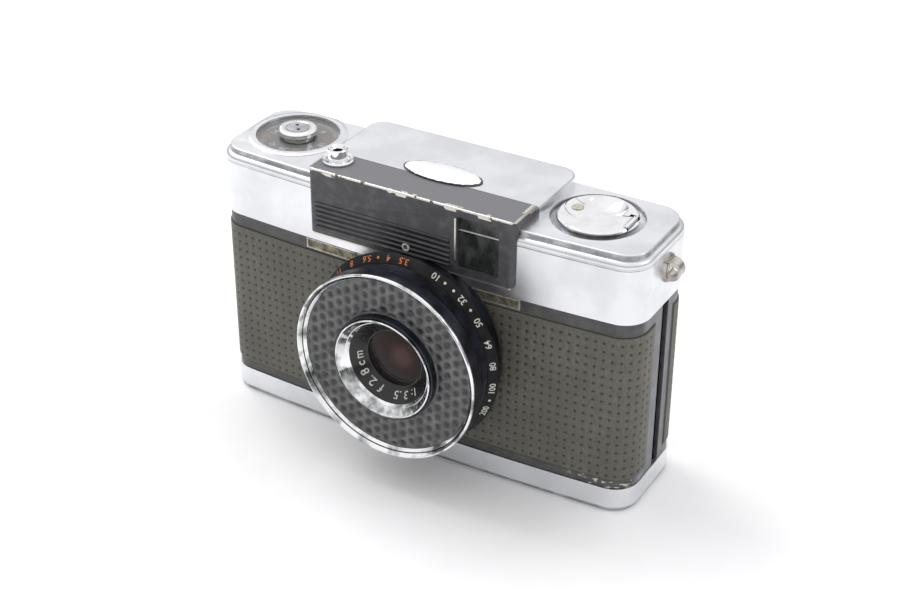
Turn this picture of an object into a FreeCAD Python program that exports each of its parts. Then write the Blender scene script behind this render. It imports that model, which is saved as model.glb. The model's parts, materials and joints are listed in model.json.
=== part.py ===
import FreeCAD, Part
import math
import os

# Half-frame 35 mm camera with a light cell round its lens, modelled piece by piece.
# Frame: millimetres, +Z up, +X to the right when looking at the front, the lens points along -Y.
# Origin: bottom centre of the whole camera, on the surface that it stands on.

V = FreeCAD.Vector

# ---------------------------------------------------------------- driving dimensions
BODY_HALF_W = 55.5        # half the width of the housing, without the strap lugs
FRONT_Y = -6.5            # front of the housing on its centre line
BACK_Y = 22.9
BOW_R = 720.0             # the front is slightly bowed
FRONT_CORNER_R = 6.5
BACK_CORNER_R = 7.0
REAR_Y = 23.7             # thumbwheel and eyepiece stand out this far
FAR = 80.0                # longer than any piece

BASE_TOP = 6.4
BASE_FLOOR = 1.2
SKIN_BOTTOM = 6.5
LEATHER_BOTTOM = 8.5
LEATHER_TOP = 47.3
COVER_BOTTOM = 50.4
DECK_TOP = 51.5           # top of the casting, inside the cover
LEDGE_TOP = 65.7
SHOULDER = 67.05
BLOCK_TOP = 69.8
BLOCK_HALF_W = 27.3
BLOCK_FRONT_Y = 2.4
SHEET = 0.8               # thickness of the pressed covers
SHOULDER_INSET = 1.2

SKIN_INSET = 0.35         # painted frame, set back under the leatherette
CORE_INSET = 2.2          # inner casting, inside the sliding back
FRAME_SIDE_Y = 8.9        # painted frame ends here on the sides
BACK_SIDE_Y = 12.1        # sliding back begins here
FRONT_LEATHER_SIDE_Y = 5.4
BACK_LEATHER_SIDE_Y = 14.5
BACK_WALL = 1.0

LENS_X = 2.1
LENS_Z = 33.45
RING_R = 23.4             # polished front ring
RING_FRONT_Y = -23.0
CONE_FRONT_Y = -23.7
FLANGE_R = 21.0
FLANGE_FRONT_Y = -12.2
SLEEVE_R = 19.0
SLEEVE_BORE_R = 17.5
HOUSING_BACK_Y = -18.5
SHUTTER_Y = -10.4
SHUTTER_R = 17.3
LIGHT_HOLE_R = 4.4

FILM_Y = 19.8
GATE_W = 18.0
GATE_H = 24.0

COUNTER = (-42.06, 10.41)
COUNTER_R = 10.09
REWIND = (38.26, 9.26)
REWIND_WELL_R = 10.72
REWIND_R = 9.2
WELL_FLOOR = 64.5
RELEASE = (-23.0, -1.0)
WHEEL = (-40.5, 10.2)
WHEEL_R = REAR_Y - WHEEL[1]
SPROCKET = (-17.5, 13.7)
CASSETTE_R = 12.7
CASSETTE_TOP = 57.0
TAKEUP_R = 12.2
SPROCKET_POCKET_R = 7.4

GEAR_Z = (51.9, 53.1)
WHEEL_Z = (53.4, 57.0)
WINDING_TEETH = 36
IDLER_TEETH = 20
SPROCKET_TEETH = 22
WINDING_R = 9.0
IDLER_R = 5.0
SPROCKET_GEAR_R = 5.5

FINDER_X = (12.1, 22.6)
FINDER_Z = (54.8, 67.6)
FINDER_MARGIN = 0.9
EYEPIECE = (17.35, 61.2)
PLATE_X = (-27.3, 26.4)
PLATE_FRONT_Y = -7.3
PLATE_BOTTOM = 52.9
RIDGES = 6                # raised bars across the plate
RIDGE_X = (-25.5, 10.2)
RIDGE_Z = 54.65
RIDGE_H = 0.55
RIDGE_PITCH = 1.225

SOCKET = (0.0, 8.0)
SOCKET_R = 3.175          # 1/4 inch tripod thread, nominal radius
LOCK = (-36.0, 8.0)
LOCK_R = 8.7

CRANK_PIVOT = (45.9, 67.3)
CRANK_PIN_R = 0.35
CRANK_Z = (66.6, 67.8)
HINGE_Y = (5.9, 12.6)     # slot in the disc for the crank's hinge
PIN_Y = (5.2, 13.4)
GRIP = (33.0, 9.8)

LUG_Y = 9.5
LUG_Z = 59.2
LUG_REACH = 59.0
LUG_EYE = (57.15, 1.15)   # distance from the centre line, radius

RUN = 0.05                # radial clearance of every running fit


# ---------------------------------------------------------------- shape helpers
def box(x, y, z):
    """Box between the (low, high) pairs x, y and z."""
    return Part.makeBox(x[1] - x[0], y[1] - y[0], z[1] - z[0], V(x[0], y[0], z[0]))


def rod_z(at, r, z):
    return Part.makeCylinder(r, z[1] - z[0], V(at[0], at[1], z[0]), V(0, 0, 1))


def rod_y(at, r, y):
    return Part.makeCylinder(r, y[1] - y[0], V(at[0], y[0], at[1]), V(0, 1, 0))


def tube_z(at, outer, inner, z):
    return rod_z(at, outer, z).cut(rod_z(at, inner, z))


def tube_y(at, outer, inner, y):
    return rod_y(at, outer, y).cut(rod_y(at, inner, y))


def turned_y(profile, at=(LENS_X, LENS_Z)):
    """Solid turned about an axis along Y; profile is a list of (radius, y)."""
    points = [V(at[0] + r, y, at[1]) for r, y in profile]
    face = Part.Face(Part.makePolygon(points + points[:1]))
    return face.revolve(V(at[0], 0, at[1]), V(0, 1, 0), 360)


def turned_z(profile, at):
    """Solid turned about an axis along Z; profile is a list of (radius, z)."""
    points = [V(at[0] + r, at[1], z) for r, z in profile]
    face = Part.Face(Part.makePolygon(points + points[:1]))
    return face.revolve(V(at[0], at[1], 0), V(0, 0, 1), 360)


def fused(shapes):
    whole = shapes[0]
    for shape in shapes[1:]:
        whole = whole.fuse(shape)
    return whole.removeSplitter()


def edges_at_z(shape, z):
    flat = [e for e in shape.Edges if all(abs(v.Z - z) < 0.001 for v in e.Vertexes)]
    return [e for e in flat if abs(e.CenterOfMass.z - z) < 0.001]


def edge_pair(shape, x, y):
    """The two upright edges at (x, y) and (-x, y)."""
    near = [e for e in shape.Edges if abs(e.CenterOfMass.y - y) < 0.01]
    return [e for e in near if abs(abs(e.CenterOfMass.x) - x) < 0.01]


def body_prism(z, inset):
    """Upright prism of the housing's outline, moved inwards by inset."""
    half = BODY_HALF_W - inset
    front = FRONT_Y + inset
    side = front + half * half / (2 * BOW_R)
    back = BACK_Y - inset
    bow = Part.Arc(V(-half, side, z[0]), V(0, front, z[0]), V(half, side, z[0])).toShape()
    corners = [V(half, side, z[0]), V(half, back, z[0]), V(-half, back, z[0]), V(-half, side, z[0])]
    outline = Part.Wire([bow] + Part.makePolygon(corners).Edges)
    solid = Part.Face(outline).extrude(V(0, 0, z[1] - z[0]))
    solid = solid.makeFillet(FRONT_CORNER_R - inset, edge_pair(solid, half, side))
    return solid.makeFillet(BACK_CORNER_R - inset, edge_pair(solid, half, back))


def behind(y):
    return box((-FAR, FAR), (y, FAR), (-FAR, FAR))


def in_front(y):
    return box((-FAR, FAR), (-FAR, y), (-FAR, FAR))


def skin(z, outer, inner):
    """Thin upright shell that follows the housing's outline."""
    return body_prism(z, outer).cut(body_prism(z, inner))


def toothed(at, teeth, tip, root, z, phase, tip_share=0.12, root_share=0.27):
    """Disc with straight-flanked teeth; the shares are half a tooth's width over the pitch."""
    pitch = 2 * math.pi / teeth
    points = []
    one_tooth = ((root, -root_share), (tip, -tip_share), (tip, tip_share), (root, root_share))
    for i in range(teeth):
        centre = phase + i * pitch
        for radius, share in one_tooth:
            angle = centre + share * pitch
            points.append(V(at[0] + radius * math.cos(angle), at[1] + radius * math.sin(angle), z[0]))
    return Part.Face(Part.makePolygon(points + points[:1])).extrude(V(0, 0, z[1] - z[0]))


def gear(at, teeth, pitch_r, z, phase):
    module = 2 * pitch_r / teeth
    return toothed(at, teeth, pitch_r + 0.8 * module, pitch_r - 1.1 * module, z, phase)


def mesh_phase(first, first_teeth, first_phase, second, second_teeth):
    """Phase that puts a gap of the second gear round the first gear's tooth."""
    line = math.atan2(second[1] - first[1], second[0] - first[0])
    lead = (first_phase - line) * first_teeth / second_teeth
    return line + math.pi - lead + math.pi / second_teeth


def coil(at, r, wire_r, z, turns):
    """Compression spring, its wire just inside the two ends of z."""
    height = z[1] - z[0] - 2 * wire_r
    path = Part.makeHelix(height / turns, height, r)
    section = Part.Wire(Part.Circle(V(r, 0, 0), V(0, 1, 0), wire_r).toShape())
    spring = Part.Wire(path.Edges).makePipeShell([section], True, True)
    spring.translate(V(at[0], at[1], z[0] + wire_r))
    return spring


def ball(r, centre):
    """Sphere with its poles along X, away from the faces that are used."""
    return Part.makeSphere(r, V(*centre), V(1, 0, 0))


def lens(at, r, front_edge, back_edge, front_sag, back_sag):
    """Glass element about an axis along Y; a positive sag bulges outwards."""
    glass = rod_y(at, r, (front_edge - max(front_sag, 0), back_edge + max(back_sag, 0)))
    for edge, sag, outward in ((front_edge, front_sag, -1), (back_edge, back_sag, 1)):
        curve_r = (r * r + sag * sag) / (2 * abs(sag))
        vertex = edge + outward * sag
        bulges = sag > 0
        centre = vertex - outward * curve_r if bulges else vertex + outward * curve_r
        surface = ball(curve_r, (at[0], centre, at[1]))
        glass = glass.common(surface) if bulges else glass.cut(surface)
    return glass


# ---------------------------------------------------------------- housing
LENS_AXIS = (LENS_X, LENS_Z)
CHAMBER = (REWIND[0], 9.0)


def chamber(centre, r, z):
    """Upright round chamber and its mouth, open to the back."""
    return [rod_z(centre, r, z), box((centre[0] - r, centre[0] + r), (centre[1], FAR), z)]


def body_frame():
    """Die-cast body: painted front, film chambers, light tunnel and top deck."""
    front = body_prism((SKIN_BOTTOM, COVER_BOTTOM), SKIN_INSET).cut(behind(FRAME_SIDE_Y))
    core = body_prism((SKIN_BOTTOM, DECK_TOP), CORE_INSET).cut(behind(FILM_Y - 0.8))
    dome = rod_z(CHAMBER, CASSETTE_R + 1.0, (DECK_TOP - 1, CASSETTE_TOP + 1))
    dome = dome.common(body_prism((DECK_TOP - 1, CASSETTE_TOP + 1), CORE_INSET)).cut(behind(FILM_Y - 0.8))
    boss = rod_y(LENS_AXIS, FLANGE_R, (FRONT_Y + 0.2, FRONT_Y + 3.2))
    block = fused([front, core, dome, boss])
    hollows = chamber(CHAMBER, CASSETTE_R, (0, CASSETTE_TOP))
    hollows += chamber(WHEEL, TAKEUP_R, (8.0, 49.8))
    hollows += chamber(SPROCKET, SPROCKET_POCKET_R, (12.5, 50.0))
    hollows.append(box((LENS_X - 11, LENS_X + 11), (-2.0, FAR), (LENS_Z - 13, LENS_Z + 13)))
    hollows.append(rod_y(LENS_AXIS, 9.5, (-FAR, 0)))
    for hollow in hollows:
        block = block.cut(hollow)
    bores = [rod_z(WHEEL, 2.5 + RUN, (45, DECK_TOP + 1)), rod_z(WHEEL, 1.5 + RUN, (5, 9)),
             rod_z(SPROCKET, 2.0 + RUN, (45, DECK_TOP + 1)), rod_z(SPROCKET, 1.2 + RUN, (5, 13)),
             rod_z(REWIND, 2.4 + RUN, (50, 60)), rod_z(RELEASE, 1.0 + RUN, (44.5, DECK_TOP + 1))]
    bores += [rod_y(spot, 0.8, (FRONT_Y, -4.2)) for spot in mount_screw_spots()]
    for bore in bores:
        block = block.cut(bore)
    stud = rod_z(idler_centre(), 1.0, (DECK_TOP - 2, GEAR_Z[1] + 0.1))
    return fused([block, stud, film_gate()])


def top_cover():
    """Pressed cover with a ledge round its shoulder, the raised block and the two wells."""
    lower = body_prism((COVER_BOTTOM, LEDGE_TOP), 0)
    lower = lower.makeFillet(1.15, edges_at_z(lower, LEDGE_TOP))
    upper = body_prism((LEDGE_TOP - 3, SHOULDER), SHOULDER_INSET)
    upper = upper.makeFillet(0.35, edges_at_z(upper, SHOULDER))
    block_back = BACK_Y - 0.1
    block = box((-BLOCK_HALF_W, BLOCK_HALF_W), (BLOCK_FRONT_Y, block_back), (LEDGE_TOP - 4, BLOCK_TOP))
    block = block.makeFillet(4.0, edge_pair(block, BLOCK_HALF_W, block_back))
    rounded = [e for e in edges_at_z(block, BLOCK_TOP) if e.CenterOfMass.y > BLOCK_FRONT_Y + 0.1]
    block = block.makeFillet(0.8, rounded)
    cover = fused([lower, upper, block])
    inside = body_prism((0, LEDGE_TOP - SHEET - 0.4), SHEET)
    under_shoulder = body_prism((50, SHOULDER - SHEET), SHOULDER_INSET + SHEET)
    under_x = (-BLOCK_HALF_W + SHEET, BLOCK_HALF_W - SHEET)
    under_block = box(under_x, (BLOCK_FRONT_Y + SHEET, BACK_Y - SHEET - 1), (50, BLOCK_TOP - SHEET))
    cover = cover.cut(inside).cut(under_shoulder).cut(under_block)
    counter_cup = rod_z(COUNTER, COUNTER_R + SHEET, (WELL_FLOOR - SHEET, SHOULDER))
    rewind_cup = rod_z(REWIND, REWIND_WELL_R + SHEET, (WELL_FLOOR - SHEET, SHOULDER - 0.1))
    collar = turned_z([(COUNTER_R, SHOULDER - 0.5), (12.2, SHOULDER - 0.5), (12.0, SHOULDER + 0.12),
                       (11.2, SHOULDER + 0.3), (COUNTER_R, SHOULDER + 0.3)], COUNTER)
    rim_limit = body_prism((WELL_FLOOR - 2, SHOULDER + 1), SHOULDER_INSET)
    cover = fused([cover, counter_cup.common(rim_limit), rewind_cup, collar.common(rim_limit)])
    holes = [rod_z(COUNTER, COUNTER_R, (WELL_FLOOR, FAR)), rod_z(COUNTER, 1.5 + RUN, (60, FAR)),
             rod_z(REWIND, REWIND_WELL_R, (WELL_FLOOR, FAR)), rod_z(REWIND, 2.4 + RUN, (60, FAR)),
             rod_z(RELEASE, 2.3 + RUN, (60, SHOULDER + 0.5)),
             finder_space((-FAR, BLOCK_FRONT_Y + 2)), rod_y(EYEPIECE, 4.6, (20, FAR)), wheel_slot(),
             rod_y(LENS_AXIS, FLANGE_R + 0.1, (-FAR, 0))]
    for hole in holes:
        cover = cover.cut(hole)
    return cover


def finder_space(y):
    x = (FINDER_X[0] - FINDER_MARGIN, FINDER_X[1] + FINDER_MARGIN)
    return box(x, y, (FINDER_Z[0] - FINDER_MARGIN, FINDER_Z[1] + FINDER_MARGIN))


def wheel_slot():
    """Slot in the back of the cover that the thumbwheel looks out of."""
    middle = (WHEEL_Z[0] + WHEEL_Z[1]) / 2
    half_height = (WHEEL_Z[1] - WHEEL_Z[0]) / 2 + 0.4
    half_length = 7.4
    x = (WHEEL[0] - half_length, WHEEL[0] + half_length)
    slot = box(x, (20, FAR), (middle - half_height, middle + half_height))
    ends = [rod_y((WHEEL[0] + side * half_length, middle), half_height, (20, FAR)) for side in (-1, 1)]
    return fused([slot] + ends)


def front_plate():
    """Black plate: front face, top lip back to the raised block, and its two ends."""
    shell = box(PLATE_X, (PLATE_FRONT_Y, BLOCK_FRONT_Y), (PLATE_BOTTOM, BLOCK_TOP - 0.1))
    low_corners = [e for e in shell.Edges if e.Length < 12 and abs(e.CenterOfMass.z - PLATE_BOTTOM) < 0.01]
    shell = shell.makeFillet(1.5, low_corners)
    shell = shell.makeFillet(0.3, [e for e in edges_at_z(shell, BLOCK_TOP - 0.1) if e.CenterOfMass.y < 0])
    hollow = box((PLATE_X[0] + 1, PLATE_X[1] - 1), (FRONT_Y + 0.3, FAR), (SHOULDER, BLOCK_TOP - 1.0))
    for inside in (body_prism((0, LEDGE_TOP), 0), body_prism((0, SHOULDER), SHOULDER_INSET), hollow):
        shell = shell.cut(inside)
    ridges = [box(RIDGE_X, (PLATE_FRONT_Y - 0.22, PLATE_FRONT_Y + 0.3), (z, z + RIDGE_H))
              for z in [RIDGE_Z + RIDGE_PITCH * i for i in range(RIDGES)]]
    plate = fused([shell] + ridges)
    window = box(FINDER_X, (-FAR, 0), FINDER_Z)
    window = window.makeFillet(0.6, [e for e in window.Edges if e.Length > 60])
    holes = [window, finder_space((FRONT_Y + 0.35, FAR)), rod_z(RELEASE, 2.9, (60, FAR)),
             rod_y(LENS_AXIS, FLANGE_R + 0.2, (-FAR, 0))]
    for hole in holes:
        plate = plate.cut(hole)
    return plate


def oval_badge():
    """Plain oval plate that bridges the black plate and the raised block."""
    oval = Part.Ellipse(V(1.2, 5.2, BLOCK_TOP), 10.1, 4.1).toShape()
    plate = Part.Face(Part.Wire([oval])).extrude(V(0, 0, 0.35))
    return plate.makeFillet(0.15, edges_at_z(plate, BLOCK_TOP + 0.35))


def front_leatherette():
    sheet = skin((LEATHER_BOTTOM, LEATHER_TOP), 0, SKIN_INSET).cut(behind(FRONT_LEATHER_SIDE_Y))
    return sheet.cut(rod_y(LENS_AXIS, FLANGE_R + 0.25, (-FAR, 0)))


def front_band_strip():
    """Worn strip let into the dark band under the cover, on both sides of the lens."""
    strip = skin((47.6, 50.15), 0.1, SKIN_INSET).common(box((-29.4, 27.4), (-FAR, 0), (0, FAR)))
    return strip.cut(rod_y(LENS_AXIS, FLANGE_R + 0.25, (-FAR, 0)))


def strap_lug(side):
    """Flat eye on a collar, standing out of the housing's end."""
    wall = side * BODY_HALF_W
    collar_x = sorted((wall, wall + side * 0.45))
    collar = box(collar_x, (LUG_Y - 2.2, LUG_Y + 2.2), (LUG_Z - 3.3, LUG_Z + 3.3))
    collar = collar.makeFillet(1.6, [e for e in collar.Edges if e.Length < 0.46])
    half_t = 1.25
    nose_r = 2.6
    centre = (side * (LUG_REACH - nose_r), LUG_Z)
    nose = rod_y(centre, nose_r, (LUG_Y - half_t, LUG_Y + half_t))
    root = box(sorted((wall, centre[0])), (LUG_Y - half_t, LUG_Y + half_t), (LUG_Z - 2.9, LUG_Z + 2.9))
    eye = rod_y((side * LUG_EYE[0], LUG_Z), LUG_EYE[1], (-FAR, FAR))
    inside = box((-BODY_HALF_W, BODY_HALF_W), (-FAR, FAR), (0, FAR))
    return fused([collar, nose, root]).cut(eye).cut(inside)


# ---------------------------------------------------------------- finder
def finder_window():
    x = (FINDER_X[0] - 0.6, FINDER_X[1] + 0.6)
    return box(x, (FRONT_Y + 0.4, FRONT_Y + 1.3), (FINDER_Z[0] - 0.6, FINDER_Z[1] + 0.6))


def finder_housing():
    """Rectangular tube from the window to the eyepiece, open at both ends."""
    wall = 0.8
    x = (FINDER_X[0] - wall, FINDER_X[1] + wall)
    outer = box(x, (FRONT_Y + 1.4, 20.2), (FINDER_Z[0] - wall, FINDER_Z[1] + wall))
    return outer.cut(box(FINDER_X, (-FAR, FAR), FINDER_Z))


def eyepiece_ring():
    barrel = tube_y(EYEPIECE, 4.6, 3.6, (20.3, BACK_Y + 0.1))
    flange = turned_y([(3.6, BACK_Y), (5.6, BACK_Y), (5.6, REAR_Y - 0.25), (5.3, REAR_Y), (4.1, REAR_Y),
                       (3.6, REAR_Y - 0.5)], EYEPIECE)
    return fused([barrel, flange])


def eyepiece_lens():
    return lens(EYEPIECE, 3.6, 20.9, 22.6, 0.2, 0.35)


# ---------------------------------------------------------------- frame counter
def counter_window():
    """Clear disc let into the mouth of the counter well, round the knob's neck."""
    return tube_z(COUNTER, COUNTER_R, 3.75, (66.1, 66.95))


def counter_dial():
    return tube_z(COUNTER, 9.6, 1.5, (64.9, 65.4))


def counter_knob():
    """Knob with two key holes, its neck, and the spindle down to the ratchet wheel."""
    head = turned_z([(0, 65.4), (3.5, 65.4), (3.5, 67.3), (4.35, 67.3), (4.6, 67.6), (4.6, 68.6),
                     (4.25, 69.0), (0, 69.0)], COUNTER)
    spindle = rod_z(COUNTER, 1.5, (61.4, 65.5))
    knob = fused([head, spindle])
    for side in (-1, 1):
        knob = knob.cut(rod_z((COUNTER[0] + side * 2.6, COUNTER[1]), 0.55, (68.0, 70)))
    return knob


def counter_ratchet():
    wheel = toothed(COUNTER, 60, 7.4, 6.9, (61.8, 62.6), 0, 0.05, 0.4)
    return wheel.cut(rod_z(COUNTER, 1.5, (60, 64)))


# ---------------------------------------------------------------- shutter release
def release_collar():
    return turned_z([(2.35, SHOULDER), (2.85, SHOULDER), (2.85, BLOCK_TOP), (3.7, BLOCK_TOP),
                     (3.75, BLOCK_TOP + 0.35), (3.45, BLOCK_TOP + 0.65), (2.9, BLOCK_TOP + 0.5),
                     (2.35, BLOCK_TOP - 0.2)], RELEASE)


def release_button():
    """Button with a dished top and the threaded hole for a cable release."""
    return turned_z([(0, 66.3), (2.3, 66.3), (2.3, 72.75), (2.1, 73.0), (1.75, 72.95), (1.25, 72.2),
                     (1.25, 69.0), (0, 69.0)], RELEASE)


def release_bar():
    """Rod under the button with the bar that reaches to the shutter."""
    rod = rod_z(RELEASE, 1.0, (47.0, 66.3))
    bar = box((RELEASE[0] - 1.6, -12.0), (RELEASE[1] - 1.6, RELEASE[1] + 1.6), (54.7, 55.9))
    return fused([rod, bar])


def release_spring():
    return coil(RELEASE, 1.55, 0.2, (DECK_TOP, 54.7), 5)


# ---------------------------------------------------------------- rewind
def rewind_sleeve():
    """Sleeve that slides with the shaft and holds it up while film is loaded."""
    return tube_z(REWIND, 4.5, 2.4 + RUN, (58.3, 59.3))


def crank_outline(grow):
    """Plan of the folding crank: a bent arm from the tip at the rim to the hinge."""
    far_left = V(30.5 - grow, 13.6 + grow, 0)
    far_right = V(45.9, 12.1 + grow, 0)
    near_right = V(45.9, 6.5 - grow, 0)
    near_left = V(31.2 - grow, 7.6 - grow, 0)
    edges = [Part.Arc(far_left, V(38.4, 10.4 + grow, 0), far_right),
             Part.LineSegment(far_right, near_right),
             Part.Arc(near_right, V(38.5, 4.3 - grow, 0), near_left),
             Part.Arc(near_left, V(29.9 - grow, 10.6, 0), far_left)]
    return Part.Face(Part.Wire([edge.toShape() for edge in edges]))


def rewind_disc():
    """Disc in the rewind well, hollowed for the crank, its knob and a fingertip."""
    disc = turned_z([(0, WELL_FLOOR + 0.2), (REWIND_R, WELL_FLOOR + 0.2), (REWIND_R, 67.3), (9.12, 67.6),
                     (8.9, 67.8), (8.6, 67.9), (0, 67.9)], REWIND)
    arm = crank_outline(0.15).extrude(V(0, 0, 5))
    arm.translate(V(0, 0, CRANK_Z[0] - 0.1))
    fingertip = ball(7.0, (38.4, 12.6, 72.7))
    hinge = box((44.6, 46.85), HINGE_Y, (66.3, 70))
    clearance = box((46.8, 48), HINGE_Y, (67.25, 70))
    shaft = rod_z(REWIND, 1.6, (60, 66.0))
    for hollow in (arm, fingertip, hinge, clearance, shaft, rod_z(GRIP, 2.1, (65.3, 70))):
        disc = disc.cut(hollow)
    return disc.cut(rod_y(CRANK_PIVOT, CRANK_PIN_R, PIN_Y))


def rewind_shaft():
    """Shaft with a stop flange and the two-pronged fork that turns the film spool."""
    shaft = fused([rod_z(REWIND, 2.4, (53.2, WELL_FLOOR + 0.2)), rod_z(REWIND, 1.6, (60, 66.0)),
                   rod_z(REWIND, 3.4, (59.4, 60.0))])
    gap = box((REWIND[0] - 0.8, REWIND[0] + 0.8), (0, FAR), (50, 56.4))
    return shaft.cut(gap)


def rewind_crank():
    arm = crank_outline(0).extrude(V(0, 0, CRANK_Z[1] - CRANK_Z[0]))
    arm.translate(V(0, 0, CRANK_Z[0]))
    knuckle = rod_y(CRANK_PIVOT, 0.75, (6.8, 11.8))
    eye = rod_y(CRANK_PIVOT, CRANK_PIN_R + RUN, (0, 20))
    crank = fused([arm, knuckle]).cut(eye).cut(rod_z(GRIP, 0.6 + RUN, (60, 70)))
    return crank.cut(rod_z(GRIP, 1.45, (CRANK_Z[1] - 0.35, 70)))


def crank_pin():
    return rod_y(CRANK_PIVOT, CRANK_PIN_R, PIN_Y)


def crank_grip():
    """Finger knob under the crank's free end, on its rivet."""
    knob = rod_z(GRIP, 1.9, (65.5, 66.5))
    rivet = rod_z(GRIP, 0.6, (66, 67.8))
    rivet_head = rod_z(GRIP, 1.4, (67.5, 67.95))
    return fused([knob, rivet, rivet_head])


# ---------------------------------------------------------------- sliding back and base
def back_shell():
    return skin((BASE_TOP, COVER_BOTTOM - 0.2), SKIN_INSET, SKIN_INSET + BACK_WALL).cut(in_front(BACK_SIDE_Y))


def back_leatherette():
    return skin((LEATHER_BOTTOM, LEATHER_TOP), 0, SKIN_INSET).cut(in_front(BACK_LEATHER_SIDE_Y))


def base_plate():
    tray = body_prism((0, BASE_TOP), 0)
    tray = tray.makeFillet(1.2, edges_at_z(tray, 0))
    tray = tray.cut(body_prism((BASE_FLOOR, FAR), 1.0))
    lock_cup = rod_z(LOCK, LOCK_R + 1.1, (0.2, 3.1))
    tray = fused([tray, lock_cup])
    holes = [rod_z(LOCK, LOCK_R + 0.1, (-1, 2.1)), rod_z(LOCK, 2.5 + RUN, (-1, 5)),
             rod_z(SOCKET, 5.5, (-1, 5)), rod_z(SPROCKET, 3.2, (-1, 5))]
    for hole in holes:
        tray = tray.cut(hole)
    return tray


def tripod_socket():
    """Flanged bush with a blind tripod thread."""
    bush = fused([rod_z(SOCKET, 5.5, (0, 5.4)), rod_z(SOCKET, 6.8, (BASE_FLOOR, 2.0))])
    return bush.cut(rod_z(SOCKET, SOCKET_R, (-1, 4.6)))


def lock_disc():
    """Round key plate with its spindle and the cam that holds the back on."""
    disc = rod_z(LOCK, LOCK_R, (0.35, 1.95))
    recess = rod_z(LOCK, 7.5, (0, 1.45)).cut(box((-FAR, FAR), (-FAR, LOCK[1] - 0.7), (-1, 9)))
    disc = disc.cut(recess)
    spindle = rod_z(LOCK, 2.5, (1.8, 4.6))
    cam = box((LOCK[0] - 7.5, LOCK[0] + 2.5), (LOCK[1] - 2.5, LOCK[1] + 2.5), (4.2, 5.4))
    lock = fused([disc, spindle, cam])
    return lock.cut(Part.makeCylinder(0.35, 17, V(LOCK[0] - 8.5, LOCK[1], 0.9), V(1, 0, 0)))


def lock_key():
    """Half-round key that folds out of the disc on its own pin."""
    plate = rod_z(LOCK, 7.0, (0.45, 1.35)).cut(box((-FAR, FAR), (-FAR, LOCK[1]), (-1, 9)))
    pin = Part.makeCylinder(0.3, 16.6, V(LOCK[0] - 8.3, LOCK[1], 0.9), V(1, 0, 0))
    knuckle = Part.makeCylinder(0.45, 14, V(LOCK[0] - 7.0, LOCK[1], 0.9), V(1, 0, 0))
    return fused([plate, pin, knuckle])


def rewind_release_button():
    head = rod_z(SPROCKET, 2.6, (0.5, 2.2))
    stem = rod_z(SPROCKET, 1.2, (2.0, 11.4))
    return fused([head, stem])


def rewind_release_spring():
    return coil(SPROCKET, 1.75, 0.2, (2.2, SKIN_BOTTOM), 5)


def pressure_plate():
    return box((LENS_X - 15, LENS_X + 15), (FILM_Y + 0.25, FILM_Y + 0.85), (15.5, 49.5))


def pressure_spring():
    """Bowed leaf riveted to the pressure plate."""
    y = FILM_Y + 0.85
    z = (LENS_Z - 2, LENS_Z + 2)
    pad = box((LENS_X - 2.5, LENS_X + 2.5), (y, y + 0.2), z)
    arms = box((LENS_X - 11, LENS_X + 11), (y + 0.05, y + 0.2), z)
    return fused([pad, arms])


# ---------------------------------------------------------------- film path
def idler_centre():
    """Where the idler meshes with both the winding gear and the sprocket gear."""
    span = math.dist(WHEEL, SPROCKET)
    first = WINDING_R + IDLER_R
    second = IDLER_R + SPROCKET_GEAR_R
    along = (first ** 2 - second ** 2 + span ** 2) / (2 * span)
    aside = math.sqrt(first ** 2 - along ** 2)
    ux = (SPROCKET[0] - WHEEL[0]) / span
    uy = (SPROCKET[1] - WHEEL[1]) / span
    return (WHEEL[0] + along * ux + aside * uy, WHEEL[1] + along * uy - aside * ux)


IDLER = idler_centre()
IDLER_PHASE = mesh_phase(WHEEL, WINDING_TEETH, 0, IDLER, IDLER_TEETH)
SPROCKET_PHASE = mesh_phase(IDLER, IDLER_TEETH, IDLER_PHASE, SPROCKET, SPROCKET_TEETH)


def thumbwheel():
    wheel = toothed(WHEEL, 90, WHEEL_R, WHEEL_R - 0.45, WHEEL_Z, 0, 0.2, 0.34)
    return wheel.cut(rod_z(WHEEL, 2.5, (50, 60)))


def winding_gear():
    """Gear under the thumbwheel, on the shaft that also drives the take-up spool."""
    teeth = gear(WHEEL, WINDING_TEETH, WINDING_R, GEAR_Z, 0)
    return fused([teeth, rod_z(WHEEL, 2.5, (48.2, WHEEL_Z[1] + 0.6))])


def idler_gear():
    teeth = gear(IDLER, IDLER_TEETH, IDLER_R, GEAR_Z, IDLER_PHASE)
    return teeth.cut(rod_z(IDLER, 1.0 + RUN, (50, 60)))


def sprocket():
    """Film sprocket: two toothed rims on one drum, with its gear on top."""
    drum = rod_z(SPROCKET, 5.0, (LENS_Z - 16.5, LENS_Z + 15.5))
    rims = []
    for middle in (LENS_Z - 14.1, LENS_Z + 14.1):
        rims.append(toothed(SPROCKET, 8, 6.9, 5.9, (middle - 0.9, middle + 0.9), 0, 0.03, 0.5))
    shaft = rod_z(SPROCKET, 2.0, (12.9, GEAR_Z[1]))
    teeth = gear(SPROCKET, SPROCKET_TEETH, SPROCKET_GEAR_R, GEAR_Z, SPROCKET_PHASE)
    return fused([drum, shaft, teeth] + rims)


def takeup_spool():
    """Spool with two flanges and a slot for the film's tongue."""
    drum = rod_z(WHEEL, 6.0, (9.5, 47.9))
    flanges = [rod_z(WHEEL, 11.0, (9.5, 10.5)), rod_z(WHEEL, 11.0, (46.9, 47.9))]
    pivot = rod_z(WHEEL, 1.5, (7.0, 10))
    slot = box((WHEEL[0] - 0.7, WHEEL[0] + 0.7), (WHEEL[1] - 8, WHEEL[1] + 8), (18, 40))
    return fused([drum, pivot] + flanges).cut(slot)


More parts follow.
